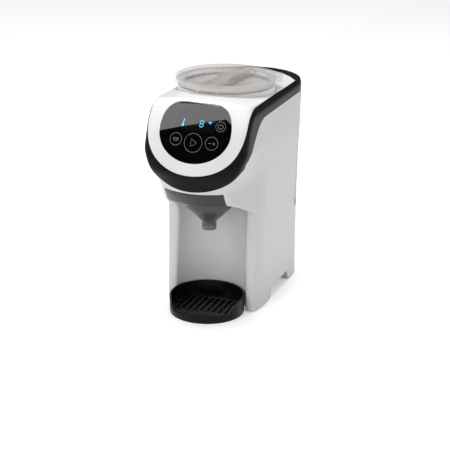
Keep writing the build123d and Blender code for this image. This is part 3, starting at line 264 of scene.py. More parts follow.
def softened(node: str, name: str, edge: float, segments: int = 2, degrees: float = 34.0) -> bpy.types.Object:
    """A copy of a model node whose sharp edges are rounded.

    Args:
        node: the model's node.
        name: the new piece's name.
        edge: width of the rounding.
        segments: faces across the rounding.
        degrees: edges sharper than this are rounded.

    Returns:
        The new piece, which stands for the node.
    """
    piece = duplicate(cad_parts[node], name)
    piece.data.materials.clear()
    pick_up(piece)
    bpy.ops.object.mode_set(mode="EDIT")
    bpy.ops.mesh.select_all(action="SELECT")
    bpy.ops.mesh.remove_doubles(threshold=0.00002)
    bpy.ops.mesh.dissolve_limited(angle_limit=math.radians(0.6))
    put_down()
    finish_with(piece, "BEVEL", width=edge * MM, segments=segments, limit_method="ANGLE",
                angle_limit=math.radians(degrees), use_clamp_overlap=True, harden_normals=False)
    smooth(piece, 36)
    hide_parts(node)
    return piece


# ------------------------------------------------------------------ surface effects shared by finishes
def wire(tree: bpy.types.NodeTree, *joins: Join) -> None:
    """Links nodes.

    Args:
        tree: the tree that the nodes are in.
        *joins: rows of a node, its output, the next node and its input.
    """
    for source, output, target, given in joins:
        tree.links.new(source.outputs[output], target.inputs[given])


class Effects:
    """Node groups that the finishes share, each built once."""

    _made: dict[str, bpy.types.NodeTree] = {}

    @classmethod
    def grain(cls) -> bpy.types.NodeTree:
        """Fine moulded grain with a slow drift of gloss.

        Returns:
            A group with Normal and Roughness outputs.
        """
        if "grain" in cls._made:
            return cls._made["grain"]
        tree = bpy.data.node_groups.new("moulded_grain", "ShaderNodeTree")
        sock = tree.interface.new_socket
        for label, value in (("Scale", 900.0), ("Depth", 0.1), ("Roughness", 0.4), ("Drift", 0.05)):
            sock(name=label, in_out="INPUT", socket_type="NodeSocketFloat").default_value = value
        sock(name="Normal", in_out="OUTPUT", socket_type="NodeSocketVector")
        sock(name="Roughness", in_out="OUTPUT", socket_type="NodeSocketFloat")
        new = tree.nodes.new
        given, out = new("NodeGroupInput"), new("NodeGroupOutput")
        place = new("ShaderNodeTexCoord")
        fine, slow = new("ShaderNodeTexNoise"), new("ShaderNodeTexNoise")
        fine.inputs["Detail"].default_value = 3.0
        slow.inputs["Scale"].default_value = 22.0
        slow.inputs["Detail"].default_value = 2.0
        bump = new("ShaderNodeBump")
        bump.inputs["Distance"].default_value = 0.00012
        centre, sway, total = new("ShaderNodeMath"), new("ShaderNodeMath"), new("ShaderNodeMath")
        centre.operation, sway.operation, total.operation = "SUBTRACT", "MULTIPLY", "ADD"
        centre.inputs[1].default_value = 0.5
        wire(
            tree, (place, "Object", fine, "Vector"), (place, "Object", slow, "Vector"),
            (given, "Scale", fine, "Scale"), (fine, "Fac", bump, "Height"),
            (given, "Depth", bump, "Strength"), (slow, "Fac", centre, 0), (centre, 0, sway, 0),
            (given, "Drift", sway, 1), (sway, 0, total, 0), (given, "Roughness", total, 1),
            (bump, "Normal", out, "Normal"), (total, 0, out, "Roughness"),
        )
        cls._made["grain"] = tree
        return tree

    @classmethod
    def tone(cls) -> bpy.types.NodeTree:
        """A slow, faint change between two near colours.

        Returns:
            A group with a Color output.
        """
        if "tone" in cls._made:
            return cls._made["tone"]
        tree = bpy.data.node_groups.new("tone_drift", "ShaderNodeTree")
        sock = tree.interface.new_socket
        sock(name="First", in_out="INPUT", socket_type="NodeSocketColor")
        sock(name="Second", in_out="INPUT", socket_type="NodeSocketColor")
        sock(name="Scale", in_out="INPUT", socket_type="NodeSocketFloat").default_value = 18.0
        sock(name="Color", in_out="OUTPUT", socket_type="NodeSocketColor")
        new = tree.nodes.new
        given, out = new("NodeGroupInput"), new("NodeGroupOutput")
        place, cloud, mix = new("ShaderNodeTexCoord"), new("ShaderNodeTexNoise"), new("ShaderNodeMix")
        mix.data_type = "RGBA"
        cloud.inputs["Detail"].default_value = 4.0
        wire(
            tree, (place, "Object", cloud, "Vector"), (given, "Scale", cloud, "Scale"),
            (cloud, "Fac", mix, "Factor"), (given, "First", mix, "A"), (given, "Second", mix, "B"),
            (mix, "Result", out, "Color"),
        )
        cls._made["tone"] = tree
        return tree


def linear(colour: tuple[float, float, float]) -> tuple[float, float, float, float]:
    """A screen colour of 0 to 255 as the scene's own linear colour."""
    parts = [c / 255 for c in colour]
    return tuple(p / 12.92 if p <= 0.04045 else ((p + 0.055) / 1.055) ** 2.4 for p in parts) + (1.0,)


@dataclass(frozen=True)
class Finish:
    """One finish of a piece: colours, gloss and grain of a moulded or metal surface."""

    name: str
    colour: tuple[float, float, float]
    second: tuple[float, float, float]
    roughness: float = 0.4
    drift: float = 0.06
    grain_scale: float = 1500.0
    grain_depth: float = 0.12
    metallic: float = 0.0
    specular: float = 0.5
    coat: float = 0.0
    coat_roughness: float = 0.08
    alpha: float = 1.0

    def material(self) -> bpy.types.Material:
        """The finish as a material, made once.

        Returns:
            The material.
        """
        if self.name in bpy.data.materials:
            return bpy.data.materials[self.name]
        made = bpy.data.materials.new(self.name)
        made.use_nodes = True
        nodes = made.node_tree.nodes
        body = nodes["Principled BSDF"]
        tone, grain = nodes.new("ShaderNodeGroup"), nodes.new("ShaderNodeGroup")
        tone.node_tree, grain.node_tree = Effects.tone(), Effects.grain()
        tone.inputs["First"].default_value = linear(self.colour)
        tone.inputs["Second"].default_value = linear(self.second)
        grain.inputs["Scale"].default_value = self.grain_scale
        grain.inputs["Depth"].default_value = self.grain_depth
        grain.inputs["Roughness"].default_value = self.roughness
        grain.inputs["Drift"].default_value = self.drift
        wire(made.node_tree, (tone, "Color", body, "Base Color"), (grain, "Normal", body, "Normal"),
             (grain, "Roughness", body, "Roughness"))
        body.inputs["Metallic"].default_value = self.metallic
        body.inputs["Specular IOR Level"].default_value = self.specular
        body.inputs["Coat Weight"].default_value = self.coat
        body.inputs["Coat Roughness"].default_value = self.coat_roughness
        body.inputs["Alpha"].default_value = self.alpha
        return made

    def dress(self, *pieces: bpy.types.Object) -> None:
        """Gives the finish to pieces, all over.

        Args:
            *pieces: the pieces.
        """
        for piece in pieces:
            piece.data.materials.clear()
            piece.data.materials.append(self.material())

    def dress_nodes(self, *names: str) -> None:
        """Gives the finish to nodes of the model.

        Args:
            *names: the nodes.
        """
        for name in names:
            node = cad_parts[name]
            for slot in node.material_slots:
                slot.material = self.material()
            if not node.material_slots:
                node.data.materials.append(self.material())


@dataclass(frozen=True)
class Glow:
    """A lit mark, or a printed mark with a faint painted glow: a flat colour with some light of its own."""

    name: str
    colour: tuple[float, float, float]
    light: float

    def dress(self, *pieces: bpy.types.Object) -> None:
        """Gives the glow to pieces.

        Args:
            *pieces: the marks.
        """
        made = bpy.data.materials.get(self.name)
        if made is None:
            made = bpy.data.materials.new(self.name)
            made.use_nodes = True
            nodes = made.node_tree.nodes
            body, tone = nodes["Principled BSDF"], nodes.new("ShaderNodeGroup")
            tone.node_tree = Effects.tone()
            tone.inputs["First"].default_value = linear(self.colour)
            tone.inputs["Second"].default_value = linear(tuple(0.93 * c for c in self.colour))
            tone.inputs["Scale"].default_value = 300.0
            wire(made.node_tree, (tone, "Color", body, "Base Color"), (tone, "Color", body, "Emission Color"))
            body.inputs["Emission Strength"].default_value = self.light
            body.inputs["Roughness"].default_value = 0.3
        for piece in pieces:
            piece.data.materials.clear()
            piece.data.materials.append(made)


# The shell's white is the mask's white plastic painted darker: a painted shade of the side panel, while the
# mask keeps the lighter copy.
WHITE = Finish("housing_white_painted_shade", (214, 214, 213), (210, 210, 209), 0.36, grain_scale=2200, grain_depth=0.05)
FACE_WHITE = Finish("mask_gloss_white", (226, 226, 225), (223, 223, 222), 0.26, specular=0.3, coat=0.05,
                    grain_depth=0.015)
BLACK = Finish("trim_satin_black", (25, 25, 26), (22, 22, 23), 0.34, specular=0.08, grain_depth=0.03)
LENS = Finish("lens_piano_black", (4, 4, 5), (3, 3, 4), 0.03, drift=0.01, grain_depth=0.0)
SMOKE = Finish("smoke_grey_clear", (84, 84, 84), (76, 76, 76), 0.14, drift=0.03, grain_depth=0.0, alpha=0.6)
SMOKE_SOLID = Finish("smoke_grey_front", (54, 54, 54), (50, 50, 50), 0.24, specular=0.3, grain_depth=0.02)
CLEAR = Finish("clear_copolyester", (236, 234, 233), (232, 230, 229), 0.07, drift=0.01, grain_depth=0.0,
               coat=1.0, coat_roughness=0.03, alpha=0.17)
LID_CLEAR = Finish("clear_lid", (232, 230, 228), (228, 226, 224), 0.06, drift=0.01, grain_depth=0.0, coat=1.0,
                   coat_roughness=0.03, alpha=0.4)
FROST = Finish("frosted_stirrer", (226, 222, 219), (218, 214, 211), 0.3, grain_depth=0.02, alpha=0.55)
ORANGE = Finish("wheel_orange_red", (246, 98, 62), (242, 90, 54), 0.3, grain_depth=0.03)
TRAY = Finish("tray_satin_black", (10, 10, 11), (13, 13, 14), 0.28, specular=0.17, grain_scale=1800,
              grain_depth=0.1)
GREY = Finish("base_grey", (168, 168, 166), (160, 160, 158), 0.6, grain_depth=0.3)
INNER = Finish("inner_white", (236, 236, 234), (230, 230, 228), 0.5, grain_depth=0.2)
ACETAL = Finish("acetal", (228, 226, 216), (220, 218, 206), 0.42, grain_depth=0.1)
STEEL = Finish("bright_steel", (190, 190, 192), (176, 176, 178), 0.28, metallic=1.0, grain_depth=0.08)
ZINC = Finish("zinc_plate", (150, 152, 155), (132, 134, 138), 0.45, metallic=1.0, grain_depth=0.2)
CAST = Finish("cast_aluminium", (184, 186, 188), (168, 170, 172), 0.5, metallic=1.0, grain_scale=700,
              grain_depth=0.4)
RUBBER = Finish("black_rubber", (26, 26, 26), (34, 34, 33), 0.75, grain_depth=0.3)
SILICONE = Finish("silicone", (222, 224, 222), (212, 214, 212), 0.4, alpha=0.8)
SEAL = Finish("clear_seal", (230, 230, 228), (224, 224, 222), 0.3, grain_depth=0.05, alpha=0.5)
BOARD = Finish("board_green", (26, 96, 60), (18, 82, 50), 0.45, grain_scale=600, grain_depth=0.4)
WINDOW = Finish("dark_window", (16, 22, 26), (12, 17, 20), 0.12, grain_depth=0.0)
ICE = Glow("lit_segments", (96, 196, 236), 0.75)
# Printed grey marks with a faint painted glow of their own; printed ink gives no light.
PRINT_PAINTED_GLOW = Glow("printed_grey_painted_glow", (122, 124, 126), 0.03)
PANE = Finish("window_tint", (11, 15, 18), (9, 12, 15), 0.05, drift=0.01, grain_depth=0.0)


# ------------------------------------------------------------------ the housing's form
@dataclass
class Rise:
    """A value that changes smoothly with the level, without overshoot."""

    levels: list[float]
    values: list[float]
    straight_above: float = 400.0

    def at(self, level: float) -> float:
        """The value at one level.

        Args:
            level: the level.

        Returns:
            The value.
        """
        x, y = self.levels, self.values
        if level <= x[0]:
            return y[0]
        if level >= x[-1]:
            return y[-1] + (y[-1] - y[-2]) / (x[-1] - x[-2]) * (level - x[-1])
        slopes = [(y[i + 1] - y[i]) / (x[i + 1] - x[i]) for i in range(len(x) - 1)]
        tangents = [slopes[0]]
        for i in range(1, len(slopes)):
            same = slopes[i - 1] * slopes[i] > 0
            tangents.append(2 * slopes[i - 1] * slopes[i] / (slopes[i - 1] + slopes[i]) if same else 0.0)
        tangents.append(slopes[-1])
        i = max(k for k in range(len(x) - 1) if x[k] <= level)
        span = x[i + 1] - x[i]
        t = (level - x[i]) / span
        if x[i] >= self.straight_above:
            return y[i] + (y[i + 1] - y[i]) * t
        return (
            (2 * t ** 3 - 3 * t ** 2 + 1) * y[i] + (t ** 3 - 2 * t ** 2 + t) * span * tangents[i]
            + (3 * t ** 2 - 2 * t ** 3) * y[i + 1] + (t ** 3 - t ** 2) * span * tangents[i + 1]
        )


@dataclass
class Housing:
    """White shell, black trim and white mask, cut from one smooth form."""

    rear: float = 149.5
    shoulder: float = -51.0
    wall: float = 2.6
    gap: float = 1.5
    band: float = 269.5
    step: float = 283.5
    deck_edge: float = 290.0
    deck_crown: float = 6.0
    deck_half: float = 66.3
    deck_rear: float = 104.0
    deck_fall: float = 0.019
    bay_y: float = -77.5
    bay_r: float = 51.0
    bay_top: float = 162.0
    tank_foot: float = 105.0
    tilt: float = 10.0 / 160.0
    voxel: float = 1.6
    passes: int = 3
    soft_passes: int = 20
    soft_front: float = -40.0
    soft_top: float = 170.0
    soft_fade: float = 10.0
    arc_steps: int = 120
    blend: float = 34.0
    blend_fade: float = 40.0
    least_blend: float = 2.0
    averaged_over: float = 9.0
    chin: float = 206.0
    drawer_half: float = 40.4
    drawer_low: float = 164.3
    drawer_high: float = 181.5
    drawer_room_half: float = 40.7
    well_at: float = -12.0
    well_r: float = 64.6
    socket_at: float = 127.0
    socket_r: float = 8.8
    crisp_from: float = 40.0
    levels: tuple[float, ...] = (
        -5, 40, 90, 120, 140, 150, 158, *(164 + 2.75 * k for k in range(46)), 291.5, 294.5, 298)
    half: Rise = field(default_factory=lambda: Rise(
        [105, 164, 181.5, 195, 206, 218, 234, 252, 269.5, 279, 290, 294.5, 298],
        [66.5, 67.5, 67.8, 68.3, 69, 70, 70.5, 70.5, 70.5, 70.5, 66.3, 66.3, 66.3], straight_above=269.5))
    front: Rise = field(default_factory=lambda: Rise(
        [164, 181.5, 195, 206, 218, 234, 252, 269.5, 279, 290, 294.5, 298],
        [-131.5, -141.5, -144.6, -147, -142.6, -136.8, -130.0, -123, -118.5, -112.5, -106.5, -96]))
    pinch: Rise = field(default_factory=lambda: Rise(
        [164, 181.5, 195, 206, 218, 234, 298], [18.5, 21, 16.6, 10.3, 5.3, 0.5, 0.5]))
    setback: Rise = field(default_factory=lambda: Rise(
        [164, 181.5, 195, 206, 218, 234, 252, 269.5, 279, 290, 294.5, 298],
        [21.5, 18.5, 16.3, 14, 8, 7.5, 7.3, 8.6, 11.6, 16, 19, 21]))
    corner: Rise = field(default_factory=lambda: Rise(
        [164, 181.5, 195, 206, 218, 234, 252, 269.5, 279, 290, 294.5, 298],
        [9, 9, 10, 12, 14, 14, 13, 13, 15, 20, 24, 28]))

    def ring(self, level: float, inset: float) -> list[Point]:
        """The outline of the housing at one level, with rounded corners.

        Args:
            level: the level.
            inset: how far the outline is moved in.

        Returns:
            Points all round, from the middle of the front to the right.
        """
        steps = self.arc_steps
        half, side = self.half.at(level), self.half.at(level) - inset
        nose = self.eased(self.front, level) + inset
        tip, back = side - self.pinch.at(level), self.eased(self.setback, level)
        radius = (tip * tip + back * back) / (2 * back)
        swing = math.asin(tip / radius)
        tail = self.rear - half
        arc = [(radius * math.sin(swing * k / steps), nose + radius - radius * math.cos(swing * k / steps))
               for k in range(steps + 1)]
        quarter = [math.pi / 2 * k / steps for k in range(steps + 1)]
        round_back = [(side * math.cos(turned), tail + side * math.sin(turned)) for turned in quarter]
        dense = np.array(arc + [(side, self.shoulder), (side, (self.shoulder + tail) / 2)] + round_back)
        gone = np.concatenate(([0], np.cumsum(np.hypot(*np.diff(dense, axis=0).T))))
        at_tip, at_shoulder, at_tail = gone[steps], gone[steps + 1], gone[steps + 3]
        turn = abs(math.atan2(self.shoulder - nose - back, side - tip) - swing)
        soft_tip = (self.eased(self.corner, level) - inset) * turn
        marks = np.concatenate((
            np.linspace(0, at_tip, 22, endpoint=False), np.linspace(at_tip, at_shoulder, 22, endpoint=False),
            np.linspace(at_shoulder, at_tail, 30, endpoint=False), np.linspace(at_tail, gone[-1], 24),
        ))
        windows = np.interp(
            marks, [at_tip, (at_tip + at_shoulder) / 2, at_shoulder, at_shoulder + self.blend_fade, gone[-1]],
            [soft_tip, self.blend, self.blend, self.least_blend, self.least_blend],
        )
        whole = np.concatenate((dense, (dense * [-1, 1])[::-1][1:]))
        lap = np.concatenate((gone, 2 * gone[-1] - gone[::-1][1:]))
        offsets = np.linspace(-0.5, 0.5, 41)
        spots = (marks[:, None] + windows[:, None] * offsets) % lap[-1]
        right = np.stack([np.interp(spots, lap, whole[:, k]).mean(axis=1) for k in (0, 1)], axis=1)
        right[0, 0] = right[-1, 0] = 0.0
        left = (right * [-1, 1])[::-1][1:-1]
        return [tuple(p) for p in np.concatenate((right, left))]

    def eased(self, rise: Rise, level: float) -> float:
        """A value of the face at one level, averaged over the levels near it.

        Args:
            rise: the value that changes with the level.
            level: the level.

        Returns:
            The averaged value.
        """
        reach = min(self.averaged_over, level - self.chin, (self.levels[-1] - level) / 2)
        if reach <= 0:
            return rise.at(level)
        return sum(rise.at(level + reach * k / 6) for k in range(-6, 7)) / 13

    def form(self, name: str, inset: float) -> bpy.types.Object:
        """The closed form of the housing, lofted through its levels, with the crowned deck.

        Args:
            name: the piece's name.
            inset: how far the form is moved in.

        Returns:
            The form.
        """
        rings = [self.ring(level, inset) for level in self.levels]
        columns, rows = len(rings[0]), len(rings) - 1
        put_down()
        bpy.ops.mesh.primitive_grid_add(x_subdivisions=columns, y_subdivisions=rows, size=1)
        made = bpy.context.object
        made.name = name
        for vertex in made.data.vertices:
            column = round((vertex.co.x + 0.5) * columns) % columns
            row = round((vertex.co.y + 0.5) * rows)
            drop = inset if self.levels[row] > self.band else 0
            x, y = rings[row][column]
            vertex.co = spot(x, y, self.levels[row] - drop)
        bpy.ops.object.mode_set(mode="EDIT")
        bpy.ops.mesh.select_all(action="SELECT")
        bpy.ops.mesh.remove_doubles(threshold=0.000001)
        bpy.ops.mesh.fill_holes(sides=0)
        put_down()
        face_outwards(made)
        carve(made, self.sky(inset), Cut.AWAY)
        carve(made, self.shelf(inset), Cut.AWAY)
        return made

    def sky(self, drop: float) -> bpy.types.Object:
        """All that is above the crowned deck.

        Args:
            drop: how far the deck is lowered.

        Returns:
            The tool.
        """
        edge = self.deck_edge - drop + self.deck_fall * 100
        half, crown = self.deck_half, self.deck_crown
        radius = (half ** 2 + crown ** 2) / (2 * crown)
        swing = math.asin(half / radius)
        arc = [(radius * math.sin(swing * k / 16), edge + crown - radius + radius * math.cos(swing * k / 16))
               for k in range(-16, 17)]
        outline = [(-95, edge - 2.4)] + arc + [(95, edge - 2.4), (95, 360), (-95, 360)]
        return block("sky", outline, Along.Y, -200, 200, (0, 0, -400 * self.deck_fall))

    def rear_curve(self, inset: float) -> list[Point]:
        """The rounded rear edge of the deck, from right to left.

        Args:
            inset: how far the edge is moved in.

        Returns:
            Points along the edge.
        """
        half, rear = 72.0 - inset, self.deck_rear - inset
        right = bezier((0, rear), (34, rear), (58 - inset, rear - 7), (half, rear - 38))
        return right[::-1] + mirrored(right)[::-1][1:]

    def shelf(self, drop: float) -> bpy.types.Object:
        """What is cut away behind the deck.

        Args:
            drop: how far the step and its edge are moved in.

        Returns:
            The tool.
        """
        curve = self.rear_curve(drop)
        low = curve[0][1]
        outline = curve + [(-100, low), (-100, 220), (100, 220), (100, low)]
        return block("shelf", outline, Along.Z, self.step - drop, 360)

    def bay(self, back: float, up: float, grow: float) -> tuple[bpy.types.Object, bpy.types.Object]:
        """The two tools that open the bottle bay: a C seen from the side, and the round niche.

        Args:
            back: how far the C is moved back.
            up: how far it is moved up.
            grow: how much wider and taller the niche is.

        Returns:
            The two tools.
        """
        knee = bezier((-61.5, 128), (-61.4, 134.3), (-65.2, 140.2), (-70.9, 142.8), 10)
        side = [(-69, -20)] + knee + [(-117, 164), (-240, 164), (-240, -20)]
        moved = [(y + back, z + up) for y, z in side]
        opening = block("bay_opening", moved, Along.X, -100, 100)
        niche = drum("bay_niche", (0, self.bay_y), self.bay_r + grow, -25, self.bay_top + grow, 160)
        return opening, niche

    def seat(self, shift: float, drop: float) -> bpy.types.Object:
        """The room of the water tank, behind its leaning seat.

        Args:
            shift: how far the seat is moved back.
            drop: how far its foot is lowered.

        Returns:
            The tool.
        """
        reach, sag = 84.5, 26.0
        radius = (70.5 ** 2 + sag ** 2) / (2 * sag)
        foot = self.tank_foot - drop
        middle = 117.5 + self.tilt * (self.tank_foot - self.band) + shift
        arc = [(reach * k / 20, middle - radius + math.sqrt(radius ** 2 - (reach * k / 20) ** 2))
               for k in range(-20, 21)]
        outline = arc + [(reach, 240), (-reach, 240)]
        return block("tank_room", outline, Along.Z, foot, 360, (0, self.tilt * (360 - foot), 0))

    def under(self) -> bpy.types.Object:
        """The room under the machine, with the channel across it.

        Returns:
            The tool.
        """
        side = [(-240, -60), (-240, self.gap), (-13, self.gap), (-9, 10.6), (-5, 16.6), (57.5, 16.6),
                (65.3, self.gap), (240, self.gap), (240, -60)]
        room = block("under_room", side, Along.X, -100, 100)
        skid = [(-53, -5), (53, -5), (53, 240), (-53, 240)]
        carve(room, block("skid_room", skid, Along.Z, -59, 16.6), Cut.JOIN)
        return room

    def head(self) -> bpy.types.Object:
        """The tool that parts the trim and the mask from the white shell.

        Returns:
            The tool.
        """
        right = bezier((0, 184.5), (44, 184.5), (71, 206.5), (73, 245), 32)
        outline = right + [(90, 262), (90, 340), (-90, 340), (-90, 262)] + mirrored(right)[:-1]
        tool = block("head_front", outline, Along.Y, -220, 220)
        start, pull = (-118, self.band - 48), (-92, self.band - 24.5)
        sweep = bezier(start, pull, (-84, self.band), (-54, self.band), 32)
        side = sweep + [(220, self.band), (220, 345), (-225, 345), (-225, 150), (-118, 150)]
        carve(tool, block("head_side", side, Along.X, -100, 100), Cut.KEEP)
        return tool

    def mask_tool(self) -> bpy.types.Object:
        """The tool that parts the mask from the trim.

        Returns:
            The tool.
        """
        half = self.deck_half + 0.4
        right = bezier((0, 207), (40, 207), (half, 228), (half, 268), 32)
        outline = right + [(half, 340), (-half, 340)] + mirrored(right)[:-1]
        tool = block("mask_front", outline, Along.Y, -220, 220)
        curve = self.rear_curve(0)
        plan = curve + [(-72, -215), (72, -215)]
        carve(tool, block("mask_plan", plan, Along.Z, 150, 345), Cut.KEEP)
        return tool

    def build(self) -> None:
        """Makes, parts and dresses the shell, the trim, the mask, the lens and the drawer's front."""
        whole = self.form("whole", 0)
        crisp = duplicate(whole, "crisp")
        for tool in self.bay(0, 0, 0):
            carve(whole, tool, Cut.AWAY)
        finish_with(whole, "REMESH", mode="VOXEL", voxel_size=self.voxel * MM, adaptivity=0.0)
        soft = whole.vertex_groups.new(name="soft")
        for vertex in whole.data.vertices:
            y, z = vertex.co.y / MM + MIDDLE_Y, vertex.co.z / MM
            ahead, below = (self.soft_front - y) / self.soft_fade, (self.soft_top - z) / self.soft_fade
            near = min(1.0, max(0.0, ahead)) * min(1.0, max(0.0, below))
            if near > 0:
                soft.add([vertex.index], near, "REPLACE")
        finish_with(whole, "SMOOTH", factor=0.5, iterations=self.passes)
        finish_with(whole, "SMOOTH", factor=0.5, iterations=self.soft_passes, vertex_group="soft")
        log.info("whole form: %d faces", len(whole.data.polygons))
        core = self.form("core", self.wall)
        for tool in self.bay(3.0, 2.0, self.wall):
            carve(core, tool, Cut.AWAY)
        carve(core, self.seat(-self.wall, self.wall), Cut.AWAY)
        carve(whole, self.seat(0, 0), Cut.AWAY)
        skin = duplicate(whole, "skin")
        carve(skin, core, Cut.AWAY, keep_tool=True)
        bar = ControlPanel.bar(0.0)
        head, mask_tool = self.head(), self.mask_tool()
        body = duplicate(skin, "body_panel")
        carve(body, head, Cut.AWAY, keep_tool=True)
        carve(body, self.under(), Cut.AWAY)
        side = self.drawer_room_half
        slot_box = [(-side, -200), (side, -200), (side, -36), (-side, -36)]
        carve(body, block("drawer_room", slot_box, Along.Z, 161, 182), Cut.AWAY)
        carve(body, drum("socket_room", (0, self.socket_at), self.socket_r, 98, 110, 64), Cut.AWAY)
        # The shell takes the darker copy of the white plastic, a painted shade of its side.
        self.present(body, WHITE, "body_shell")
        top = duplicate(skin, "upper")
        carve(top, head, Cut.KEEP)
        mask = duplicate(top, "face_mask")
        carve(mask, mask_tool, Cut.KEEP, keep_tool=True)
        carve(mask, bar, Cut.AWAY)
        carve(mask, drum("well_room", (0, self.well_at), self.well_r, 270, 330, 160), Cut.AWAY)
        self.present(mask, FACE_WHITE, "front_mask")
        carve(top, mask_tool, Cut.AWAY)
        top.name = "trim"
        self.present(top, BLACK, "trim_band")
        fascia = duplicate(crisp, "drawer_front")
        side = self.drawer_half
        front_box = [(-side, -200), (side, -200), (side, -100), (-side, -100)]
        carve(fascia, block("front_box", front_box, Along.Z, self.drawer_low, self.drawer_high), Cut.KEEP)
        carve(fascia, core, Cut.AWAY)
        finish_with(fascia, "BEVEL", width=0.5 * MM, segments=2, limit_method="ANGLE",
                    angle_limit=math.radians(50))
        smooth(fascia, 36)
        SMOKE_SOLID.dress(fascia)
        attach(fascia, "drawer")
        lens = duplicate(crisp, "lens")
        carve(lens, ControlPanel.bar(0.15), Cut.KEEP)
        inner = self.form("lens_back", 2.0)
        carve(lens, inner, Cut.AWAY)
        smooth(lens, 30)
        LENS.dress(lens)
        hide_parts("control_lens")
        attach(lens, "housing")
        for spare in (whole, crisp, skin):
            bpy.data.objects.remove(spare)

    def present(self, piece: bpy.types.Object, finish: Finish, node: str) -> None:
        """Smooths, dresses and mounts one part of the housing.

        Args:
            piece: the part.
            finish: its finish.
            node: the model's node that it stands for.
        """
        smooth(piece, self.crisp_from)
        finish.dress(piece)
        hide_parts(node)
        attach(piece, "housing")
        log.info("%s: %d faces", piece.name, len(piece.data.polygons))


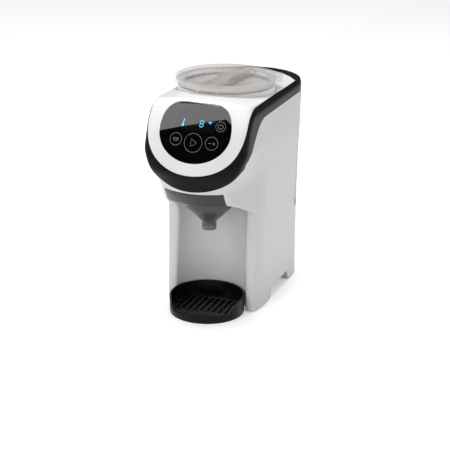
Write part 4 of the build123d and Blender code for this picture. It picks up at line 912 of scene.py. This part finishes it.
# ------------------------------------------------------------------ control panel
@dataclass
class ControlPanel:
    """Marks of the touch panel, laid on the lens."""

    centre: tuple[float, float, float] = (0.0, -128.0, 258.0)
    lean: float = 24.0
    line: float = 0.42
    icon_line: float = 0.6
    power_line: float = 0.55
    squash: float = 0.35

    @staticmethod
    def bar(play: float) -> bpy.types.Object:
        """A bar with the lens's outline through the face.

        Args:
            play: how much smaller the outline is, all round.

        Returns:
            The bar.
        """
        half, top, low = 48.4 - play, 42.0 - play, play - 36.6
        right = bezier((0, low), (27, low), (half, -18), (half, 4)) + bezier(
            (half, 4), (half, 26), (40 - play / 2, top), (20, top))[1:]
        outline = right + mirrored(right)[:-1]
        panel = ControlPanel()
        made = block("lens_bar", outline, Along.Z, -30, 30)
        made.data.transform(panel.frame())
        return made

    def frame(self) -> Matrix:
        """The panel's plane: across, up the face and out of it.

        Returns:
            The matrix from the panel to the model.
        """
        tilt = math.radians(self.lean)
        out = (0.0, -math.cos(tilt), math.sin(tilt))
        up = (0.0, math.sin(tilt), math.cos(tilt))
        x, y, z = spot(*self.centre)
        return Matrix(((1, up[0], out[0], x), (0, up[1], out[1], y), (0, up[2], out[2], z), (0, 0, 0, 1)))

    def stroke(self, name: str, path: list[Point], width: float, closed: bool = False) -> bpy.types.Object:
        """A thin flat line along a path on the panel.

        Args:
            name: the mark's name.
            path: points across and up the panel.
            width: the line's width.
            closed: True where the line closes on itself.

        Returns:
            The mark, still flat.
        """
        curve = bpy.data.curves.new(name, "CURVE")
        curve.dimensions = "3D"
        spline = curve.splines.new("POLY")
        spline.points.add(len(path) - 1)
        for point, (a, b) in zip(spline.points, path):
            point.co = (a * MM, b * MM, 0, 1)
        spline.use_cyclic_u = closed
        curve.bevel_depth = width / 2 * MM
        curve.bevel_resolution = 1
        made = bpy.data.objects.new(name, curve)
        bpy.context.scene.collection.objects.link(made)
        pick_up(made)
        bpy.ops.object.convert(target="MESH")
        made = bpy.context.object
        made.name = name
        return made

    @staticmethod
    def circle(centre: Point, radius: float, start: float = 0.0, end: float = 360.0) -> list[Point]:
        """Points along a circle or a part of it.

        Args:
            centre: its middle.
            radius: its radius.
            start: the first angle, in degrees from the right, anticlockwise.
            end: the last angle.

        Returns:
            The points.
        """
        steps = max(8, int(abs(end - start) / 6))
        full = abs(end - start) >= 360
        count = steps if full else steps + 1
        return [(centre[0] + radius * math.cos(math.radians(start + (end - start) * k / steps)),
                 centre[1] + radius * math.sin(math.radians(start + (end - start) * k / steps)))
                for k in range(count)]

    def lay(self, pieces: list[bpy.types.Object], lens: bpy.types.Object, proud: float) -> None:
        """Sets flat marks on the lens's crowned surface.

        Args:
            pieces: the marks, made on the flat panel.
            lens: the surface that carries them.
            proud: how far they stand out of it.
        """
        plane = self.frame()
        back = plane.inverted()
        out = Vector((plane[0][2], plane[1][2], plane[2][2]))
        for piece in pieces:
            for vertex in piece.data.vertices:
                flat = Vector((vertex.co.x, vertex.co.y, 0.03))
                found, place, _, _ = lens.ray_cast(plane @ flat, -out)
                depth = ((back @ place).z if found else 0.0) + proud * MM
                vertex.co = plane @ Vector((vertex.co.x, vertex.co.y, depth + vertex.co.z * self.squash))
            face_outwards(piece)
            smooth(piece, 60)
            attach(piece, "housing")

    def digit(self, centre: Point, tall: float, wide: float) -> list[bpy.types.Object]:
        """A figure eight of seven lit segments.

        Args:
            centre: its middle.
            tall: its height.
            wide: its width.

        Returns:
            The segments.
        """
        lean = 0.08
        marks = []
        half, width = tall / 2, wide / 2
        bars = [((-width, half), (width, half)), ((-width, 0), (width, 0)),
                ((-width, -half), (width, -half)),
                ((-width, half), (-width, 0)), ((width, half), (width, 0)),
                ((-width, 0), (-width, -half)), ((width, 0), (width, -half))]
        for number, (start, end) in enumerate(bars):
            ends = []
            for share in (0.12, 0.88):
                a = start[0] + (end[0] - start[0]) * share
                b = start[1] + (end[1] - start[1]) * share
                ends.append((centre[0] + a + lean * b, centre[1] + b))
            marks.append(self.stroke(f"digit_bar_{number}", ends, 0.8))
        return marks

    def build(self) -> None:
        """Makes the window, the lit marks, and the printed rings and icons with a faint painted glow."""
        lens = bpy.data.objects["lens"]
        pane = block("display_pane", [(-18, 5), (26, 5), (26, 21), (-18, 21)], Along.Z, 0, 0.1)
        finish_with(pane, "SUBSURF", subdivision_type="SIMPLE", levels=3, render_levels=3)
        lit = self.digit((8.6, 13.0), 8.0, 4.2) + [self.stroke(*row) for row in (
            ("gauge_stem", [(-16.4, 11.0), (-15.2, 17.6)], 1.1),
            ("gauge_bulb", self.circle((-16.7, 9.4), 0.85), 1.4, True),
            ("unit_dash_0", [(17.3, 15.9), (21.7, 15.9)], 0.9),
            ("unit_dash_1", [(18.3, 14.4), (21.2, 14.4)], 0.7),
        )]
        marks = [self.stroke(*row) for row in (
            ("start_ring", self.circle((0.6, -12.0), 11.9), self.line, True),
            ("scoop_ring", self.circle((-23.5, -9.2), 7.9), self.line, True),
            ("volume_ring", self.circle((25.0, -10.4), 8.2), self.line, True),
            ("power_ring", self.circle((33.6, 12.1), 6.3), self.line, True),
            ("start_arrow", [(-2.4, -7.0), (5.4, -12.0), (-2.4, -17.0)], self.icon_line, True),
            ("scoop_bowl", self.circle((-23.5, -8.0), 3.4, 180, 360), self.icon_line),
            ("scoop_rim", [(-27.2, -8.0), (-19.8, -8.0)], self.icon_line),
            ("volume_minus", [(21.0, -10.4), (24.0, -10.4)], self.icon_line),
            ("volume_plus_0", [(26.2, -10.4), (29.6, -10.4)], self.icon_line),
            ("volume_plus_1", [(27.9, -8.7), (27.9, -12.1)], self.icon_line),
            ("power_arc", self.circle((33.6, 12.0), 3.1, 130, 410), self.power_line),
            ("power_bar", [(33.6, 12.6), (33.6, 16.0)], self.power_line),
        )]
        self.lay([pane], lens, 0.02)
        self.lay(lit, lens, 0.16)
        self.lay(marks, lens, 0.06)
        PANE.dress(pane)
        ICE.dress(*lit)
        # The printed rings and icons carry a faint painted glow.
        PRINT_PAINTED_GLOW.dress(*marks)
        log.info("control panel: %d marks", len(lit) + len(marks))


# ------------------------------------------------------------------ other assemblies
def mounted(node: str, name: str, body: str, finish: Finish, edge: float,
            segments: int = 2) -> bpy.types.Object:
    """A softened copy of a node, dressed and riding on a body.

    Args:
        node: the model's node.
        name: the new piece's name.
        body: the body that it moves with.
        finish: its finish.
        edge: width of the rounding.
        segments: faces across the rounding.

    Returns:
        The new piece.
    """
    piece = softened(node, name, edge, segments)
    finish.dress(piece)
    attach(piece, body)
    return piece


@dataclass
class PowderContainer:
    """Clear container with its lid, seal, dispensing wheel and stirrer."""

    edge: float = 0.5
    lid_edge: float = 0.9
    blade_edge: float = 0.4

    def build(self) -> None:
        """Rounds and dresses the clear mouldings and what turns inside them."""
        mounted("powder_container", "container", "container", CLEAR, self.edge)
        mounted("container_lid", "lid", "lid", LID_CLEAR, self.lid_edge, 3)
        mounted("dispensing_wheel", "wheel", "wheel", ORANGE, self.edge)
        mounted("stirrer", "stirrer_blades", "wheel", FROST, self.blade_edge)
        SEAL.dress_nodes("lid_seal")


@dataclass
class FunnelDrawer:
    """The pull-out holder behind its front, and the mixing funnel in it."""

    edge: float = 0.4
    holder_edge: float = 0.0001
    front_at: float = -122.0
    crisp_from: float = 36.0

    def build(self) -> None:
        """Parts the holder from the front, and dresses the funnel."""
        holder = mounted("funnel_drawer", "drawer_holder", "drawer", SMOKE, self.holder_edge)
        front = [(-60, -200), (60, -200), (60, self.front_at), (-60, self.front_at)]
        carve(holder, block("front_room", front, Along.Z, 100, 240), Cut.AWAY)
        smooth(holder, self.crisp_from)
        mounted("mixing_funnel", "funnel", "drawer", SMOKE, self.edge)
        SMOKE.dress_nodes("funnel_cover")


@dataclass
class DripTray:
    """Black tray under the bottle, with its slotted grate."""

    edge: float = 0.7
    grate_edge: float = 0.4

    def build(self) -> None:
        """Rounds and dresses tray and grate."""
        mounted("drip_tray", "tray", "tray", TRAY, self.edge, 3)
        mounted("drip_grate", "grate", "grate", TRAY, self.grate_edge)


@dataclass
class WaterTank:
    """Smoke-grey tank at the back, its black lid and its valve."""

    edge: float = 0.5
    lid_edge: float = 0.8

    def build(self) -> None:
        """Dresses the tank's pieces."""
        mounted("water_tank", "tank_shell", "tank", SMOKE, self.edge)
        mounted("tank_lid", "tank_cover_top", "tank_cover", BLACK, self.lid_edge)
        SMOKE.dress_nodes("tank_spigot")
        ACETAL.dress_nodes("valve_plunger")
        STEEL.dress_nodes("valve_spring")


@dataclass
class Works:
    """What the housing holds inside and below."""

    finishes: dict[Finish, tuple[str, ...]] = field(default_factory=lambda: {
        GREY: ("base_plate",), ZINC: ("case_screws", "chassis_plate", "heater_bracket"),
        RUBBER: ("rubber_feet", "cord_gland"), WINDOW: ("display_module",),
        BOARD: ("control_board", "power_board"),
        STEEL: ("touch_springs", "drive_shaft", "motor_pinion", "gear_motor"),
        INNER: ("container_well", "powder_chute", "drawer_frame", "tank_socket", "water_pump",
                "pump_bracket"),
        ACETAL: ("shaft_bush", "gearbox_case", "drive_gear", "water_nozzle"), CAST: ("flow_heater",),
        SILICONE: ("socket_seal", "suction_hose", "transfer_hose", "delivery_hose"),
    })

    def build(self) -> None:
        """Dresses the nodes of the works."""
        for finish, names in self.finishes.items():
            finish.dress_nodes(*names)
        log.info("works: %d nodes", sum(len(names) for names in self.finishes.values()))


# ------------------------------------------------------------------ studio
@dataclass
class Studio:
    """Camera, lamps, white floor and the cards that the lens mirrors."""

    camera_at: tuple[float, float, float] = (0.6569, -1.7634, 0.7525)
    aim: tuple[float, float, float] = (0.0, -0.0158, 0.0990)
    roll: float = 0.49
    lens: float = 116.28
    ambient: float = 0.5
    cards_at: float = -3.0
    card_half: float = 9.0
    card_low: float = 0.01
    card_top: float = 16.0
    dark: float = 0.03
    bright: float = 4.0
    flag: float = 0.05
    floor_side: float = 12.0
    floor_glow: float = 0.35
    middle: tuple[float, float, float] = (0.0, 0.0, 0.16)
    lens_line: tuple[Point, ...] = tuple((6.5 * k, 12.0 + 1.68 * k) for k in range(-7, 8))

    def camera(self) -> None:
        """Sets up the camera."""
        data = bpy.data.cameras.new("camera")
        data.lens, data.sensor_width = self.lens, 36.0
        data.clip_start, data.clip_end = 0.05, 30.0
        made = bpy.data.objects.new("camera", data)
        bpy.context.scene.collection.objects.link(made)
        ahead = (Vector(self.aim) - Vector(self.camera_at)).normalized()
        right = ahead.cross(Vector((0, 0, 1))).normalized()
        up = right.cross(ahead)
        turn = math.radians(self.roll)
        across = right * math.cos(turn) + up * math.sin(turn)
        upward = up * math.cos(turn) - right * math.sin(turn)
        rows = [(across[i], upward[i], -ahead[i], self.camera_at[i]) for i in range(3)]
        made.matrix_world = Matrix(rows + [(0, 0, 0, 1)])
        bpy.context.scene.camera = made

    def lamp(self, name: str, place: tuple[float, float, float], size: float, power: float,
             mirrored_in_gloss: bool = False) -> None:
        """A soft square lamp aimed at the middle.

        Args:
            name: the lamp's name.
            place: where it hangs, in metres.
            size: the length of its side.
            power: its power in watts.
            mirrored_in_gloss: True where glossy edges show it.
        """
        data = bpy.data.lights.new(name, "AREA")
        data.shape, data.size, data.energy = "SQUARE", size, power
        made = bpy.data.objects.new(name, data)
        bpy.context.scene.collection.objects.link(made)
        made.location = place
        made.rotation_euler = (Vector(self.middle) - Vector(place)).to_track_quat("-Z", "Y").to_euler()
        made.visible_camera = False
        made.visible_glossy = mirrored_in_gloss

    def world(self) -> None:
        """A white world that lights softly and shows white."""
        world = bpy.data.worlds.new("studio_white")
        bpy.context.scene.world = world
        world.use_nodes = True
        tree = world.node_tree
        nodes = tree.nodes
        soft, out = nodes["Background"], nodes["World Output"]
        seen, mix = nodes.new("ShaderNodeBackground"), nodes.new("ShaderNodeMixShader")
        soft.inputs["Color"].default_value = (1, 1, 1, 1)
        soft.inputs["Strength"].default_value = self.ambient
        seen.inputs["Color"].default_value = (1, 1, 1, 1)
        seen.inputs["Strength"].default_value = 1.0
        wire(tree, (self.seen_mask(tree), 0, mix, 0), (soft, 0, mix, 1), (seen, 0, mix, 2),
             (mix, 0, out, "Surface"))

    @staticmethod
    def seen_mask(tree: bpy.types.NodeTree) -> bpy.types.Node:
        """One for camera, glossy and transmission rays.

        Args:
            tree: the tree that the mask is made in.

        Returns:
            The node that gives the mask.
        """
        path = tree.nodes.new("ShaderNodeLightPath")
        first, second = tree.nodes.new("ShaderNodeMath"), tree.nodes.new("ShaderNodeMath")
        first.operation = second.operation = "MAXIMUM"
        wire(tree, (path, "Is Camera Ray", first, 0), (path, "Is Glossy Ray", first, 1),
             (first, 0, second, 0), (path, "Is Transmission Ray", second, 1))
        return second

    def floor(self) -> None:
        """A white floor that keeps a soft shadow."""
        put_down()
        bpy.ops.mesh.primitive_plane_add(size=self.floor_side, location=(0, 0, 0))
        made = bpy.context.object
        made.name = "floor"
        material = bpy.data.materials.new("floor_white")
        material.use_nodes = True
        tree = material.node_tree
        nodes = tree.nodes
        body, out = nodes["Principled BSDF"], nodes["Material Output"]
        body.inputs["Base Color"].default_value = (0.86, 0.86, 0.86, 1)
        body.inputs["Roughness"].default_value = 0.9
        body.inputs["Specular IOR Level"].default_value = 0.0
        glow, total = nodes.new("ShaderNodeEmission"), nodes.new("ShaderNodeAddShader")
        share = nodes.new("ShaderNodeMath")
        share.operation = "MULTIPLY"
        share.inputs[1].default_value = self.floor_glow
        wire(tree, (self.seen_mask(tree), 0, share, 0), (share, 0, glow, "Strength"), (body, 0, total, 0),
             (glow, 0, total, 1), (total, 0, out, "Surface"))
        made.data.materials.append(material)

    def card(self, name: str, corners: list[tuple[float, float, float]], strength: float) -> None:
        """A card that only mirrors see.

        Args:
            name: the card's name.
            corners: its corners, in order, in metres.
            strength: how bright it is; 0 is a black card.
        """
        put_down()
        bpy.ops.mesh.primitive_circle_add(vertices=len(corners), radius=0.1, fill_type="NGON")
        made = bpy.context.object
        made.name = name
        for vertex, corner in zip(made.data.vertices, corners):
            vertex.co = corner
        material = bpy.data.materials.new(name)
        material.use_nodes = True
        nodes = material.node_tree.nodes
        nodes.remove(nodes["Principled BSDF"])
        glow, clear = nodes.new("ShaderNodeEmission"), nodes.new("ShaderNodeBsdfTransparent")
        mix, path = nodes.new("ShaderNodeMixShader"), nodes.new("ShaderNodeLightPath")
        glow.inputs["Color"].default_value = (1, 1, 1, 1)
        glow.inputs["Strength"].default_value = strength
        wire(material.node_tree, (path, "Is Glossy Ray", mix, 0), (clear, 0, mix, 1), (glow, 0, mix, 2),
             (mix, 0, nodes["Material Output"], "Surface"))
        made.data.materials.append(material)

    def lens_cards(self) -> None:
        """A dark and a bright card that meet where the lens mirrors a slanted line."""
        lens, plane = bpy.data.objects["lens"], ControlPanel().frame()
        out, eye = plane.to_3x3() @ Vector((0, 0, 1)), Vector(self.camera_at)
        edge, around = [], [0.5 * k for k in range(-6, 7)]
        for across, up in self.lens_line:
            casts = [lens.ray_cast(plane @ Vector(((across + a) * MM, (up + b) * MM, 0.03)), -out)
                     for a in around for b in around]
            place = casts[len(casts) // 2][1]
            normal = sum((cast[2] for cast in casts if cast[0]), Vector()).normalized()
            ray = (place - eye).normalized()
            ray -= 2 * ray.dot(normal) * normal
            edge.append(place + ray * (self.cards_at - place.y) / ray.y)
            log.info("lens line %.1f: %s", across, tuple(round(c, 3) for c in edge[-1]))
        half, away = self.card_half, self.cards_at
        line = sorted([tuple(point) for point in edge] + [(-half, away, edge[0].z), (half, away, edge[-1].z)])
        for name, level, strength in (("card_dark", self.card_low, self.dark),
                                      ("card_bright", self.card_top, self.bright)):
            self.card(name, line + [(half, away, level), (-half, away, level)], strength)

    def build(self) -> None:
        """Sets up the whole studio."""
        self.camera()
        self.world()
        self.floor()
        self.lamp("key", (-0.9, -1.5, 1.6), 0.9, 7.0)
        self.lamp("top", (-0.1, 0.1, 1.9), 1.0, 25.0, True)
        self.lamp("fill", (-0.5, -2.2, 0.5), 1.2, 7.5)
        self.lens_cards()
        self.card("flag_behind", [(-4, 2.6, 0.02), (4, 2.6, 0.02), (4, 2.6, 4.5), (-4, 2.6, 4.5)], self.flag)
        bpy.context.scene.view_settings.view_transform = "Standard"


def main() -> None:
    """Builds each assembly in order."""
    for assembly in (Housing(), ControlPanel(), PowderContainer(), FunnelDrawer(), DripTray(), WaterTank(),
                     Works(), Studio()):
        assembly.build()
        log.info("built %s", type(assembly).__name__)


if __name__ == "__main__":
    main()
